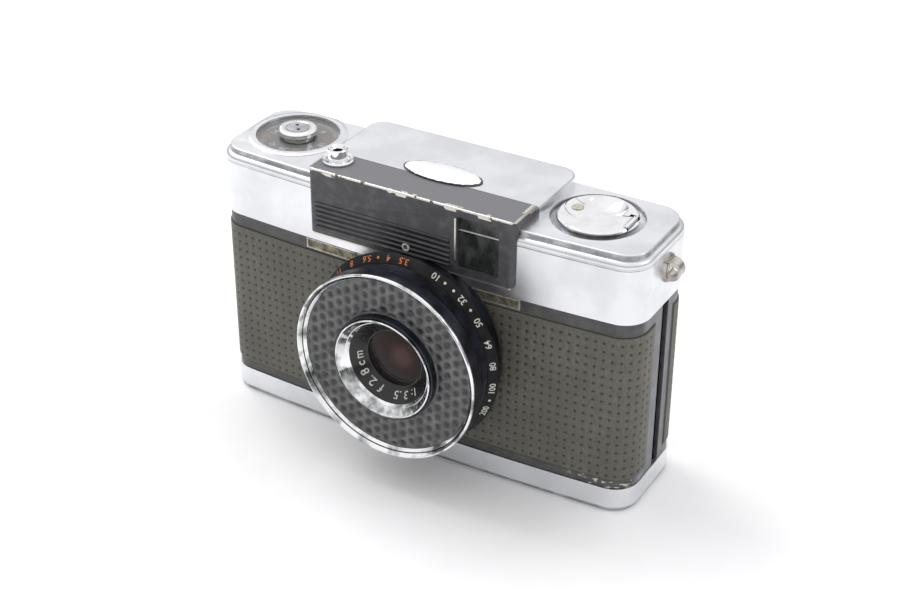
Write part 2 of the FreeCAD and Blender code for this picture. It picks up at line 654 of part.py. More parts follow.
def film_gate():
    """Half-frame opening and the two film rails, cast in one with the body."""
    x = (LENS_X - 13, LENS_X + 13)
    plate = box(x, (FILM_Y - 0.8, FILM_Y - 0.2), (14.5, 49.5))
    rails = [box(x, (FILM_Y - 0.3, FILM_Y + 0.1), (LENS_Z + low, LENS_Z + low + 2)) for low in (-15, 13)]
    gate_x = (LENS_X - GATE_W / 2, LENS_X + GATE_W / 2)
    opening = box(gate_x, (0, FAR), (LENS_Z - GATE_H / 2, LENS_Z + GATE_H / 2))
    return fused([plate] + rails).cut(opening)


# ---------------------------------------------------------------- lens and shutter
def mount_screw_spots():
    reach = 14.5
    return [(LENS_X + reach * math.cos(a), LENS_Z + reach * math.sin(a))
            for a in [math.radians(45 + 90 * i) for i in range(4)]]


def lens_base():
    """Flange on the body, the sleeve for the speed ring, and the rear lens tube."""
    base = turned_y([(5.6, SHUTTER_Y), (SLEEVE_BORE_R, SHUTTER_Y), (SLEEVE_BORE_R, HOUSING_BACK_Y),
                     (SLEEVE_R, HOUSING_BACK_Y), (SLEEVE_R, FLANGE_FRONT_Y), (FLANGE_R, FLANGE_FRONT_Y),
                     (FLANGE_R, FRONT_Y + 0.2), (8.5, FRONT_Y + 0.2), (8.5, -2.5), (5.6, -2.5)])
    for spot in mount_screw_spots():
        base = base.cut(rod_y(spot, 0.8, (-20, 0))).cut(rod_y(spot, 1.5, (-20, SHUTTER_Y + 1.1)))
    return base


def lens_mount_screws():
    screws = []
    for spot in mount_screw_spots():
        head = rod_y(spot, 1.5, (SHUTTER_Y + 0.1, SHUTTER_Y + 1.1))
        shank = rod_y(spot, 0.8, (SHUTTER_Y + 1, -4.3))
        slot = box((spot[0] - 2, spot[0] + 2), (SHUTTER_Y, SHUTTER_Y + 0.5), (spot[1] - 0.2, spot[1] + 0.2))
        screws.append(fused([head, shank]).cut(slot))
    return Part.makeCompound(screws)


BLADE_REACH = 10.0


def shutter_plate():
    plate = tube_y(LENS_AXIS, SHUTTER_R, LIGHT_HOLE_R, (SHUTTER_Y - 0.8, SHUTTER_Y))
    pins = [rod_y((x, LENS_Z), 0.6, (SHUTTER_Y - 1.75, SHUTTER_Y - 0.5))
            for x in (LENS_X - BLADE_REACH, LENS_X + BLADE_REACH)]
    return fused([plate] + pins)


def shutter_blade(side, y):
    """Blade that closes the light hole, with its pivot eye on the given side."""
    pivot = (LENS_X + side * BLADE_REACH, LENS_Z)
    disc = rod_y(LENS_AXIS, LIGHT_HOLE_R + 0.8, y)
    arm = box(sorted((pivot[0], LENS_X)), y, (LENS_Z - 1.5, LENS_Z + 1.5))
    return fused([disc, arm, rod_y(pivot, 1.5, y)]).cut(rod_y(pivot, 0.6 + RUN, (-FAR, 0)))


def shutter_cover():
    disc = tube_y(LENS_AXIS, SHUTTER_R, LIGHT_HOLE_R, (SHUTTER_Y - 2.5, SHUTTER_Y - 1.8))
    rim = tube_y(LENS_AXIS, SHUTTER_R, SHUTTER_R - 1, (SHUTTER_Y - 1.9, SHUTTER_Y - 0.8))
    return fused([disc, rim])


def lens_cell():
    return turned_y([(7.0, -16.9), (10.8, -16.9), (10.8, -15.9), (8.4, -15.9), (8.4, SHUTTER_Y - 2.5),
                     (5.0, SHUTTER_Y - 2.5), (5.0, -14.0), (7.0, -14.0)])


def front_element():
    return lens(LENS_AXIS, 7.0, -17.9, -15.6, 0.9, -0.5)


def rear_element():
    return lens(LENS_AXIS, 5.6, -6.2, -3.8, 0.4, 0.5)


def name_ring():
    """Black cone round the front glass."""
    return turned_y([(7.05, -18.0), (10.2, -21.0), (10.9, -21.0), (10.9, -16.9), (7.05, -16.9)])


def chrome_cone():
    return turned_y([(10.2, -21.05), (12.15, -23.55), (12.3, CONE_FRONT_Y), (12.47, -23.55), (12.5, -18.9),
                     (11.0, -18.9), (11.0, -21.05)])


def cell_housing():
    """Blue-black barrel with a tray for the light cell and its inner collar."""
    return turned_y([(11.0, HOUSING_BACK_Y), (11.0, -18.9), (12.55, -18.9), (12.55, -23.1), (12.75, -23.25),
                     (13.1, -23.1), (13.1, -18.9), (22.2, -18.9), (22.2, -22.2), (23.1, -22.2), (23.2, -22.1),
                     (23.2, -18.7), (23.0, HOUSING_BACK_Y)])


def selenium_cell():
    return tube_y(LENS_AXIS, 21.4, 13.3, (-19.9, -18.9))


def cell_window():
    return tube_y(LENS_AXIS, 21.55, 13.1, (-21.3, -20.2))


def front_chrome_ring():
    return turned_y([(21.6, -21.35), (22.85, -22.9), (23.1, RING_FRONT_Y), (23.3, -22.9), (RING_R, -22.7),
                     (RING_R, -22.25), (23.3, -22.2), (22.2, -22.2), (22.2, -21.35)])


def asa_grip():
    """Grip band of the film speed ring, with fine grooves round it."""
    profile = [(SLEEVE_R + RUN, -18.3), (22.0, -18.3)]
    for i in range(6):
        y = -18.0 + i * 0.6
        profile += [(22.0, y), (21.7, y + 0.1), (21.7, y + 0.3), (22.0, y + 0.4)]
    return turned_y(profile + [(22.0, -14.3), (SLEEVE_R + RUN, -14.3)])


def asa_scale():
    """Sloping band of the same ring, which carries the film speeds and apertures."""
    return turned_y([(SLEEVE_R + RUN, -14.3), (22.15, -14.3), (22.3, -14.1), (24.0, -12.6), (24.0, -12.4),
                     (SLEEVE_R + RUN, -12.4)])


# ---------------------------------------------------------------- light meter
METER = (-4.0, 10.0)


def meter_movement():
    magnet = tube_z(METER, 6.2, 4.2, (DECK_TOP, 59.5))
    core = rod_z(METER, 3.0, (DECK_TOP, 59.5))
    bridge = box((METER[0] - 6, METER[0] + 6), (METER[1] - 1.2, METER[1] + 1.2), (59.5, 60.2))
    return fused([magnet, core, bridge])


def meter_needle():
    hub = rod_z(METER, 0.8, (60.4, 61.6))
    pointer = box((METER[0], METER[0] + 14), (METER[1] - 0.2, METER[1] + 0.2), (61.0, 61.3))
    return fused([hub, pointer])


# ---------------------------------------------------------------- every piece, by node
PIECES = {
    "body_frame": body_frame,
    "top_cover": top_cover,
    "front_plate": front_plate,
    "oval_badge": oval_badge,
    "front_leatherette": front_leatherette,
    "front_band_strip": front_band_strip,
    "strap_lug_left": lambda: strap_lug(-1),
    "strap_lug_right": lambda: strap_lug(1),
    "finder_window": finder_window,
    "finder_housing": finder_housing,
    "eyepiece_ring": eyepiece_ring,
    "eyepiece_lens": eyepiece_lens,
    "counter_window": counter_window,
    "counter_dial": counter_dial,
    "counter_knob": counter_knob,
    "counter_ratchet": counter_ratchet,
    "release_collar": release_collar,
    "release_button": release_button,
    "release_bar": release_bar,
    "release_spring": release_spring,
    "rewind_sleeve": rewind_sleeve,
    "rewind_disc": rewind_disc,
    "rewind_shaft": rewind_shaft,
    "rewind_crank": rewind_crank,
    "crank_pin": crank_pin,
    "crank_grip": crank_grip,
    "back_shell": back_shell,
    "back_leatherette": back_leatherette,
    "base_plate": base_plate,
    "tripod_socket": tripod_socket,
    "lock_disc": lock_disc,
    "lock_key": lock_key,
    "rewind_release_button": rewind_release_button,
    "rewind_release_spring": rewind_release_spring,
    "pressure_plate": pressure_plate,
    "pressure_spring": pressure_spring,
    "thumbwheel": thumbwheel,
    "winding_gear": winding_gear,
    "idler_gear": idler_gear,
    "sprocket": sprocket,
    "takeup_spool": takeup_spool,
    "lens_base": lens_base,
    "lens_mount_screws": lens_mount_screws,
    "shutter_plate": shutter_plate,
    "shutter_blade_a": lambda: shutter_blade(-1, (SHUTTER_Y - 1.2, SHUTTER_Y - 0.95)),
    "shutter_blade_b": lambda: shutter_blade(1, (SHUTTER_Y - 1.6, SHUTTER_Y - 1.35)),
    "shutter_cover": shutter_cover,
    "lens_cell": lens_cell,
    "front_element": front_element,
    "rear_element": rear_element,
    "name_ring": name_ring,
    "chrome_cone": chrome_cone,
    "cell_housing": cell_housing,
    "selenium_cell": selenium_cell,
    "cell_window": cell_window,
    "front_chrome_ring": front_chrome_ring,
    "asa_grip": asa_grip,
    "asa_scale": asa_scale,
    "meter_movement": meter_movement,
    "meter_needle": meter_needle,
}

os.makedirs("parts", exist_ok=True)
for node, make in PIECES.items():
    shape = make()
    shape.exportStep(f"parts/{node}.step")
    print(node, len(shape.Solids), round(shape.Volume, 1), "valid" if shape.isValid() else "NOT VALID")
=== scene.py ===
import json
import math

import bmesh
import bpy
from mathutils import Matrix, Vector, noise


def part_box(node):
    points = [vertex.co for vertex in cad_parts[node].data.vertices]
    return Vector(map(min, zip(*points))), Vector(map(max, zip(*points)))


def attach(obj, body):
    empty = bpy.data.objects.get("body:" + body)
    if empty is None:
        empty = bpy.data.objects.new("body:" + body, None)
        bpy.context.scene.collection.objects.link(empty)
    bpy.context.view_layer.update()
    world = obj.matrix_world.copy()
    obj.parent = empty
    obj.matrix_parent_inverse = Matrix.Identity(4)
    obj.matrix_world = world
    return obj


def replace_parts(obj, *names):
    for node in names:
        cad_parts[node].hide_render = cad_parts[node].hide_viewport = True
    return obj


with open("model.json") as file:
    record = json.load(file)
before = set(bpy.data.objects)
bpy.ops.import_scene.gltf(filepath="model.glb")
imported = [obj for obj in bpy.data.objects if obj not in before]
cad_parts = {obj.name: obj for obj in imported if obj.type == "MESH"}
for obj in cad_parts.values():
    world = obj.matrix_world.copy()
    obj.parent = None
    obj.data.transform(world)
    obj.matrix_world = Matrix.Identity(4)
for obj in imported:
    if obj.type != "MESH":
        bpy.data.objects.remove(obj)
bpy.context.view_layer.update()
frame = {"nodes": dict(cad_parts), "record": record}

MM = 0.001
NODES = frame["nodes"]


def corner(node, which, axis):
    """One number of a node's box in millimetres: which is 0 for low and 1 for high."""
    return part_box(node)[which][axis] / MM


def span(node, axis):
    """Both ends of a node's box along an axis."""
    return corner(node, 0, axis), corner(node, 1, axis)


def centre(node, axis):
    return sum(span(node, axis)) / 2


# ---------------------------------------------------- places, in millimetres, from the frame
HALF_W = corner("front_leatherette", 1, 0)
FRONT_Y = corner("front_leatherette", 0, 1)
BACK_Y = corner("back_leatherette", 1, 1)
LEATHER_Z = span("front_leatherette", 2)
FRONT_LEATHER_SIDE_Y = corner("front_leatherette", 1, 1)
BACK_LEATHER_SIDE_Y = corner("back_leatherette", 0, 1)
LENS_X = centre("front_chrome_ring", 0)
LENS_Z = centre("front_chrome_ring", 2)
RING_R = corner("front_chrome_ring", 1, 0) - LENS_X
RING_FRONT = corner("front_chrome_ring", 0, 1)
CONE_FRONT = corner("chrome_cone", 0, 1)
WINDOW_R = corner("cell_window", 1, 0) - LENS_X
WINDOW_FRONT = corner("cell_window", 0, 1)
FLANGE_R = corner("lens_base", 1, 0) - LENS_X
SCALE_R = corner("asa_scale", 1, 0) - LENS_X
PLATE_X = span("front_plate", 0)
PLATE_Z = span("front_plate", 2)
BLOCK_TOP = corner("oval_badge", 0, 2)
BADGE = (centre("oval_badge", 0), centre("oval_badge", 1))
COUNTER = (centre("counter_dial", 0), centre("counter_dial", 1))
DIAL_TOP = corner("counter_dial", 1, 2)
STRIP_X = span("front_band_strip", 0)
STRIP_Z = span("front_band_strip", 2)

# ---------------------------------------------------- sizes in millimetres that no box gives
FINDER_SETBACK = 1.2
PLATE_FRONT = corner("finder_window", 0, 1) - FINDER_SETBACK
PLATE_CORNER_R = 1.4
FINDER_X = (12.1, 22.6)
FINDER_Z = (54.8, 67.6)
RIDGES_X = (-25.7, 10.4)
RIDGES_Z = (54.2, 61.6)
LEDGE_Z = (65.55, 67.0)
BEAD_Z = 63.85
CASTING_FOOT_Z = (6.2, 8.9)
WINDOW_INNER_R = 13.1
BADGE_HALF = (10.1, 4.1)
BOW_R = 720.0
FRONT_CORNER_R = 6.5
BACK_CORNER_R = 7.0
SKIN = 0.35
LEATHER_PITCH = (2.08, 2.18)
DIMPLE_DEPTH = 0.22
GROOVE_DEPTH = 0.2
CELL_PITCH = (2.33, 2.63)
CELL_SHIFT = (0.72, -1.0)
CELL_DIP = 0.42
INDEX_AT = (-1.1, 56.3)
SPEED_FIGURES_AT = (23.13, -13.4)
LENS_FIGURES_AT = (8.62, -19.42)

# widths of the bevels on the carried-over nodes whose edges show
ROUNDED = (("rewind_disc", 0.12), ("rewind_crank", 0.12), ("top_cover", 0.08), ("base_plate", 0.1),
           ("strap_lug_left", 0.15), ("strap_lug_right", 0.15), ("back_shell", 0.08),
           ("eyepiece_ring", 0.1), ("release_collar", 0.06), ("release_button", 0.06))

GRID = 8              # steps of the leather mesh to one dimple
RING_SEGMENTS = 224
SHARP_DEG = 28        # edges turned by more than this are bevelled

# the camera, solved from the photograph: position in metres, angles in degrees, focal length in mm
CAMERA_AT = (0.181995, -0.302206, 0.250846)
CAMERA_TURN = (30.195, 30.995, 0.142)
FOCAL_LENGTH = 70.705
SENSOR_WIDTH = 36.0


# ---------------------------------------------------- materials
def linear(red, green, blue):
    """Linear colour of an sRGB one given in 0..255."""
    def one(value):
        value = value / 255
        return value / 12.92 if value <= 0.04045 else ((value + 0.055) / 1.055) ** 2.4
    return (one(red), one(green), one(blue), 1.0)


class Shader:
    """A node material with the few operations that the looks below are made of."""

    def __init__(self, name, color, metallic, roughness):
        self.material = bpy.data.materials.new(name)
        self.material.use_nodes = True
        self.nodes = self.material.node_tree.nodes
        self.links = self.material.node_tree.links
        self.surface = self.nodes["Principled BSDF"]
        self.surface.inputs["Base Color"].default_value = color
        self.surface.inputs["Metallic"].default_value = metallic
        self.surface.inputs["Roughness"].default_value = roughness
        self.place = self.nodes.new("ShaderNodeTexCoord").outputs["Object"]
        self.axes = None

    def set(self, socket, value):
        self.surface.inputs[socket].default_value = value
        return self

    def drive(self, socket, source):
        self.links.new(source, self.surface.inputs[socket])
        return self

    def math(self, operation, first, second=None):
        """Result of a maths node; each value is a number or the output of another node."""
        node = self.nodes.new("ShaderNodeMath")
        node.operation = operation
        for slot, value in enumerate((first, second)):
            if value is None:
                continue
            if isinstance(value, (int, float)):
                node.inputs[slot].default_value = value
            else:
                self.links.new(value, node.inputs[slot])
        return node.outputs[0]

    def axis(self, index):
        """Position along x, y or z, in millimetres."""
        if self.axes is None:
            split = self.nodes.new("ShaderNodeSeparateXYZ")
            self.links.new(self.place, split.inputs[0])
            self.axes = [self.math("MULTIPLY", split.outputs[i], 1000.0) for i in range(3)]
        return self.axes[index]

    def noise(self, size, detail=3.0, stretch=(1, 1, 1), low=0.35, high=0.65):
        """Noise with features of that size in millimetres, spread to 0..1 between low and high."""
        mapping = self.nodes.new("ShaderNodeMapping")
        mapping.inputs["Scale"].default_value = stretch
        self.links.new(self.place, mapping.inputs[0])
        texture = self.nodes.new("ShaderNodeTexNoise")
        texture.inputs["Scale"].default_value = 1000.0 / size
        texture.inputs["Detail"].default_value = detail
        self.links.new(mapping.outputs[0], texture.inputs["Vector"])
        return self.ramp(texture.outputs["Fac"], low, high)

    def ramp(self, source, low, high):
        """Smooth step: 0 at low and 1 at high; low may be above high."""
        node = self.nodes.new("ShaderNodeMapRange")
        node.interpolation_type = "SMOOTHSTEP"
        self.links.new(source, node.inputs["Value"])
        if low <= high:
            node.inputs["From Min"].default_value = low
            node.inputs["From Max"].default_value = high
        else:
            node.inputs["From Min"].default_value = high
            node.inputs["From Max"].default_value = low
            node.inputs["To Min"].default_value = 1.0
            node.inputs["To Max"].default_value = 0.0
        return node.outputs["Result"]

    def mix(self, mask, first, second):
        """Colour that goes from first to second with the mask."""
        node = self.nodes.new("ShaderNodeMix")
        node.data_type = "RGBA"
        self.links.new(mask, node.inputs[0])
        sockets = [s for s in node.inputs if s.type == "RGBA"]
        for socket, value in zip(sockets, (first, second)):
            if isinstance(value, tuple):
                socket.default_value = value
            else:
                self.links.new(value, socket)
        return [s for s in node.outputs if s.type == "RGBA"][0]

    def blend(self, mask, first, second):
        """Number that goes from first to second with the mask."""
        scaled = self.math("MULTIPLY", mask, second - first)
        return self.math("ADD", scaled, first)

    def bump(self, height, strength, distance):
        """Relief of that distance in millimetres."""
        node = self.nodes.new("ShaderNodeBump")
        node.inputs["Strength"].default_value = strength
        node.inputs["Distance"].default_value = distance * MM
        self.links.new(height, node.inputs["Height"])
        self.links.new(node.outputs[0], self.surface.inputs["Normal"])
        return self

    def offset(self, index, value):
        return self.math("SUBTRACT", self.axis(index), value)

    def squares(self, a, b):
        """Sum of the squares of two sources."""
        return self.math("ADD", self.math("MULTIPLY", a, a), self.math("MULTIPLY", b, b))

    def distance(self, first, first_value, second, second_value):
        """Distance in millimetres from the line where the two axes have those values."""
        both = self.squares(self.offset(first, first_value), self.offset(second, second_value))
        return self.math("SQRT", both)

    def chain(self, operation, *masks):
        total = masks[0]
        for mask in masks[1:]:
            total = self.math(operation, total, mask)
        return total

    def near_edges(self, edges, reach):
        """1 on the edges and 0 at reach from them; an edge is (axis, value, axis, value), in mm."""
        nearness = [self.ramp(self.distance(*edge), reach, reach * 0.25) for edge in edges]
        return self.chain("MAXIMUM", *nearness)

    def relief(self):
        """How deep the mesh lies below its face, 0..1, from its relief attribute."""
        node = self.nodes.new("ShaderNodeAttribute")
        node.attribute_name = "relief"
        return node.outputs["Fac"]

    def between(self, index, low, high, soft):
        """1 between low and high along an axis, with soft ends inside them."""
        rising = self.ramp(self.axis(index), low, low + soft)
        falling = self.ramp(self.axis(index), high, high - soft)
        return self.math("MULTIPLY", rising, falling)


BARE_METAL = linear(214, 210, 200)


def satin_chrome():
    """Plated sheet with a fine satin grain, faint stains and a few light rubs, and painted shade on the
    riser below the deck, in the crease under the bead and along the foot.
    """
    shader = Shader("satin_chrome", linear(236, 236, 240), 1.0, 0.4)
    stains = shader.noise(9.0, 4.0)
    # painted shade: the riser, a thin line under the bead and the foot of the base are darkened where
    # shade falls, broken up by noise
    riser = shader.between(2, *LEDGE_Z, 0.45)
    crease = shader.between(2, BEAD_Z - 0.3, BEAD_Z + 0.1, 0.15)
    foot = shader.between(2, 0.0, 1.5, 0.6)
    painted_shade = shader.chain("MAXIMUM", riser, crease, foot)
    painted_shade = shader.math("MULTIPLY", painted_shade, shader.blend(shader.noise(3.5, 3.0), 0.55, 0.95))
    clean = shader.mix(stains, linear(222, 223, 226), linear(234, 235, 238))
    # the clean tone is mixed towards dark grey by the painted shade
    shader.drive("Base Color", shader.mix(painted_shade, clean, linear(128, 129, 132)))
    rubs = shader.noise(2.6, 6.0, low=0.52, high=0.8)
    shader.drive("Roughness", shader.blend(rubs, 0.34, 0.44))
    return shader.bump(shader.noise(0.22, 2.0), 0.05, 0.008).material


def polished_chrome(name="polished_chrome", darkest=(231, 231, 234)):
    """Bright plating; the darker its darkest tone, the more streaked it looks."""
    shader = Shader(name, linear(238, 238, 240), 1.0, 0.07)
    haze = shader.noise(2.0, 5.0, low=0.45, high=0.75)
    shader.drive("Roughness", shader.blend(haze, 0.05, 0.16))
    tone = shader.noise(4.0, 4.0, low=0.3, high=0.55)
    shader.drive("Base Color", shader.mix(tone, linear(*darkest), linear(241, 241, 242)))
    return shader.bump(shader.noise(1.2, 3.0), 0.05, 0.01).material


def bright_steel():
    shader = Shader("bright_steel", linear(200, 200, 203), 1.0, 0.25)
    lines = shader.noise(0.35, 3.0, stretch=(1, 1, 0.08))
    shader.drive("Roughness", shader.blend(lines, 0.2, 0.36))
    tone = shader.noise(3.0, 4.0)
    shader.drive("Base Color", shader.mix(tone, linear(178, 178, 182), linear(212, 212, 214)))
    return shader.bump(lines, 0.1, 0.01).material


def black_enamel():
    """Charcoal enamel, rubbed down to bright metal along the edges of the front plate, with a painted
    highlight on its top face and painted shade in the valleys between its ridges.
    """
    shader = Shader("black_enamel", linear(62, 62, 66), 0.0, 0.42)
    top = (1, PLATE_FRONT, 2, PLATE_Z[1])
    bottom = (1, PLATE_FRONT, 2, PLATE_Z[0])
    right = (0, PLATE_X[1], 1, PLATE_FRONT)
    right_top = (0, PLATE_X[1], 2, PLATE_Z[1])
    left = (0, PLATE_X[0], 1, PLATE_FRONT)
    left_top = (0, PLATE_X[0], 2, PLATE_Z[1])
    ragged = shader.noise(1.5, 5.0, low=0.36, high=0.44)
    worn = shader.math("MULTIPLY", shader.near_edges([top, right_top, right], 0.6), ragged)
    broad = shader.noise(4.5, 3.0, low=0.5, high=0.56)
    rubbed = shader.math("MULTIPLY", shader.near_edges([top, right_top], 1.5), broad)
    thin = shader.near_edges([bottom, left, left_top], 0.55)
    finder_left = shader.between(0, FINDER_X[0] - 0.75, FINDER_X[0] - 0.25, 0.12)
    finder_height = shader.between(2, FINDER_Z[0] + 1.6, FINDER_Z[1] - 0.3, 0.5)
    sunk = shader.ramp(shader.axis(1), PLATE_FRONT + 0.5, PLATE_FRONT + 0.2)
    finder_bevel = shader.chain("MULTIPLY", finder_left, finder_height, sunk)
    bare = shader.ramp(shader.chain("MAXIMUM", worn, rubbed, thin, finder_bevel), 0.28, 0.5)
    dust = shader.noise(2.2, 5.0, low=0.4, high=0.8)
    paint = shader.mix(dust, linear(64, 64, 67), linear(86, 86, 89))
    # painted highlight: the top face of the plate is lighter, as lit from above
    on_top = shader.ramp(shader.axis(2), PLATE_Z[1] - 0.25, PLATE_Z[1] - 0.05)
    paint = shader.mix(on_top, paint, linear(108, 108, 112))
    # painted shade: the valleys between the ridges on the plate front are painted near black
    ridged = (shader.between(0, *RIDGES_X, 0.2), shader.between(2, *RIDGES_Z, 0.2))
    deep = shader.ramp(shader.axis(1), PLATE_FRONT - 0.14, PLATE_FRONT - 0.04)
    painted_valley_shade = shader.chain("MULTIPLY", *ridged, deep)
    paint = shader.mix(painted_valley_shade, paint, linear(30, 30, 32))
    shader.drive("Base Color", shader.mix(bare, paint, BARE_METAL))
    shader.drive("Metallic", shader.blend(bare, 0.0, 0.85))
    shader.drive("Roughness", shader.blend(bare, 0.42, 0.3))
    return shader.bump(shader.noise(0.3, 3.0), 0.12, 0.015).material


def gloss_black():
    """Gloss black of the ring round the front glass."""
    shader = Shader("gloss_black", linear(24, 24, 26), 0.0, 0.22)
    dust = shader.noise(0.8, 5.0, low=0.55, high=0.8)
    shader.drive("Base Color", shader.mix(dust, linear(22, 22, 24), linear(46, 46, 50)))
    shader.drive("Roughness", shader.blend(dust, 0.2, 0.45))
    return shader.material


def frame_paint():
    """Warm grey paint of the casting, chipped along its lowest corner, with a painted highlight on both
    side faces.
    """
    shader = Shader("frame_paint", linear(88, 86, 84), 0.15, 0.42)
    mottled = shader.noise(3.0, 5.0)
    paint = shader.mix(mottled, linear(70, 69, 69), linear(86, 85, 84))
    foot = shader.between(2, *CASTING_FOOT_Z, 0.35)
    rightmost = shader.ramp(shader.axis(0), 38.0, 47.0)
    foremost = shader.ramp(shader.axis(1), 4.0, 1.0)
    flakes = shader.noise(1.5, 5.0, stretch=(1, 1, 2.6), low=0.57, high=0.6)
    chips = shader.chain("MULTIPLY", foot, rightmost, foremost, flakes)
    # painted highlight: the side faces of the casting are painted lighter, as if lit
    side = shader.ramp(shader.math("ABSOLUTE", shader.axis(0)), HALF_W - 0.9, HALF_W - 0.3)
    paint = shader.mix(side, paint, linear(112, 113, 118))
    shader.drive("Base Color", shader.mix(chips, paint, linear(206, 203, 196)))
    shader.drive("Metallic", shader.blend(chips, 0.15, 0.8))
    shader.drive("Roughness", shader.blend(mottled, 0.36, 0.5))
    return shader.bump(shader.noise(0.5, 3.0), 0.15, 0.02).material


def leatherette():
    """Olive-grey embossed vinyl with a fine upright grain, and painted shade in its dimples and in the
    groove by its border.
    """
    shader = Shader("leatherette", linear(103, 101, 91), 0.0, 0.5)
    streaks = shader.noise(0.4, 4.0, stretch=(1, 1, 0.25), low=0.2, high=0.75)
    patches = shader.noise(14.0, 4.0)
    tone = shader.mix(patches, linear(94, 92, 83), linear(108, 106, 96))
    toned = shader.mix(streaks, linear(80, 79, 71), tone)
    # painted shade: the dimples and the border groove are painted dark from the relief attribute
    depth = shader.ramp(shader.relief(), 0.12, 0.85)
    shader.drive("Base Color", shader.mix(depth, toned, linear(30, 29, 26)))
    shader.drive("Roughness", shader.blend(streaks, 0.42, 0.6))
    shader.set("Specular IOR Level", 0.42)
    return shader.bump(streaks, 0.28, 0.035).material


def worn_brass():
    """Tarnished strip with a pale rubbed outline."""
    shader = Shader("worn_brass", linear(120, 114, 90), 0.6, 0.45)
    tarnish = shader.noise(1.3, 6.0, low=0.35, high=0.68)
    tone = shader.mix(tarnish, linear(92, 88, 72), linear(146, 141, 120))
    bottom = shader.ramp(shader.axis(2), STRIP_Z[0] + 0.42, STRIP_Z[0] + 0.16)
    top = shader.ramp(shader.axis(2), STRIP_Z[1] - 0.42, STRIP_Z[1] - 0.16)
    left = shader.ramp(shader.axis(0), STRIP_X[0] + 0.5, STRIP_X[0] + 0.2)
    right = shader.ramp(shader.axis(0), STRIP_X[1] - 0.5, STRIP_X[1] - 0.2)
    outline = shader.chain("MAXIMUM", bottom, top, left, right)
    outline = shader.math("MULTIPLY", outline, shader.noise(1.0, 4.0, low=0.3, high=0.5))
    shader.drive("Base Color", shader.mix(outline, tone, linear(196, 192, 178)))
    shader.drive("Roughness", shader.blend(tarnish, 0.55, 0.35))
    return shader.bump(tarnish, 0.3, 0.03).material


def lug_steel():
    shader = Shader("lug_steel", linear(172, 160, 146), 0.9, 0.34)
    wear = shader.noise(2.2, 3.0, low=0.35, high=0.65)
    shader.drive("Base Color", shader.mix(wear, linear(172, 166, 159), linear(208, 204, 198)))
    shader.drive("Roughness", shader.blend(wear, 0.3, 0.18))
    return shader.bump(wear, 0.08, 0.02).material


def barrel_black():
    """Blue-black satin finish of the lens barrel."""
    shader = Shader("barrel_black", linear(28, 29, 36), 0.3, 0.34)
    cloud = shader.noise(4.0, 4.0)
    shader.drive("Base Color", shader.mix(cloud, linear(20, 21, 27), linear(40, 42, 54)))
    shader.drive("Roughness", shader.blend(cloud, 0.28, 0.42))
    return shader.bump(shader.noise(0.25, 2.0), 0.08, 0.01).material


def scale_black():
    shader = Shader("scale_black", linear(38, 38, 40), 0.0, 0.42)
    cloud = shader.noise(2.5, 5.0)
    shader.drive("Base Color", shader.mix(cloud, linear(16, 16, 17), linear(30, 30, 31)))
    shader.drive("Roughness", shader.blend(cloud, 0.36, 0.5))
    shader.set("Specular IOR Level", 0.16)
    return shader.bump(shader.noise(0.3, 2.0), 0.1, 0.012).material


def optic_glass():
    shader = Shader("optic_glass", (0.92, 0.94, 0.95, 1.0), 0.0, 0.02)
    smear = shader.noise(3.0, 3.0, low=0.5, high=0.8)
    shader.drive("Roughness", shader.blend(smear, 0.01, 0.06))
    return shader.set("Transmission Weight", 1.0).set("IOR", 1.5).material


def window_glass():
    """Smoky finder glass with a film of dust."""
    shader = Shader("window_glass", linear(52, 53, 53), 0.0, 0.14)
    dust = shader.noise(3.0, 4.0, stretch=(1, 1, 0.5))
    shader.drive("Base Color", shader.mix(dust, linear(48, 49, 49), linear(86, 87, 87)))
    shader.drive("Roughness", shader.blend(dust, 0.08, 0.2))
    return shader.set("Transmission Weight", 0.25).material


def oval_silver():
    """Near-white oval plate with a ragged dark edge."""
    shader = Shader("oval_silver", linear(246, 246, 248), 0.75, 0.42)
    x, y = (shader.math("DIVIDE", shader.offset(i, BADGE[i]), BADGE_HALF[i]) for i in (0, 1))
    ragged = shader.blend(shader.noise(0.8, 4.0, low=0.3, high=0.7), -0.05, 0.05)
    edge = shader.ramp(shader.math("ADD", shader.squares(x, y), ragged), 0.9, 0.94)
    shader.drive("Base Color", shader.mix(edge, linear(250, 250, 251), linear(58, 54, 48)))
    shader.drive("Metallic", shader.blend(edge, 0.75, 0.0))
    return shader.bump(shader.noise(0.7, 3.0), 0.15, 0.02).material


def coated_glass():
    """Front glass over a nearly black barrel, with a painted reddish reflection of its coating off
    centre.
    """
    shader = Shader("coated_glass", (0.16, 0.12, 0.11, 1.0), 0.0, 0.02)
    smear = shader.noise(2.0, 3.0, low=0.5, high=0.8)
    shader.drive("Roughness", shader.blend(smear, 0.01, 0.08))
    # painted reflection: a warm spot off centre stands in for the reddish reflection of the coating
    painted_coating_reflection = shader.ramp(shader.distance(0, LENS_X + 2.4, 2, LENS_Z + 1.6), 4.2, 0.6)
    dark, warm = (0.012, 0.014, 0.014, 1.0), (0.16, 0.09, 0.085, 1.0)
    shader.drive("Base Color", shader.mix(painted_coating_reflection, dark, warm))
    shader.set("Transmission Weight", 0.6).set("IOR", 1.45).set("Specular IOR Level", 0.12)
    return shader.set("Specular Tint", (1.0, 0.72, 0.66, 1.0)).material


def cell_plastic():
    """Grey moulded window over the light cell, dark where a lens of the array dips."""
    shader = Shader("cell_plastic", linear(92, 93, 94), 0.0, 0.36)
    cloud = shader.noise(3.0, 4.0)
    tone = shader.mix(cloud, linear(78, 79, 80), linear(108, 108, 107))
    depth = shader.ramp(shader.relief(), 0.25, 0.95)
    shader.drive("Base Color", shader.mix(depth, tone, linear(40, 40, 42)))
    shader.drive("Roughness", shader.blend(depth, 0.4, 0.25))
    return shader.bump(shader.noise(0.5, 3.0), 0.12, 0.02).material


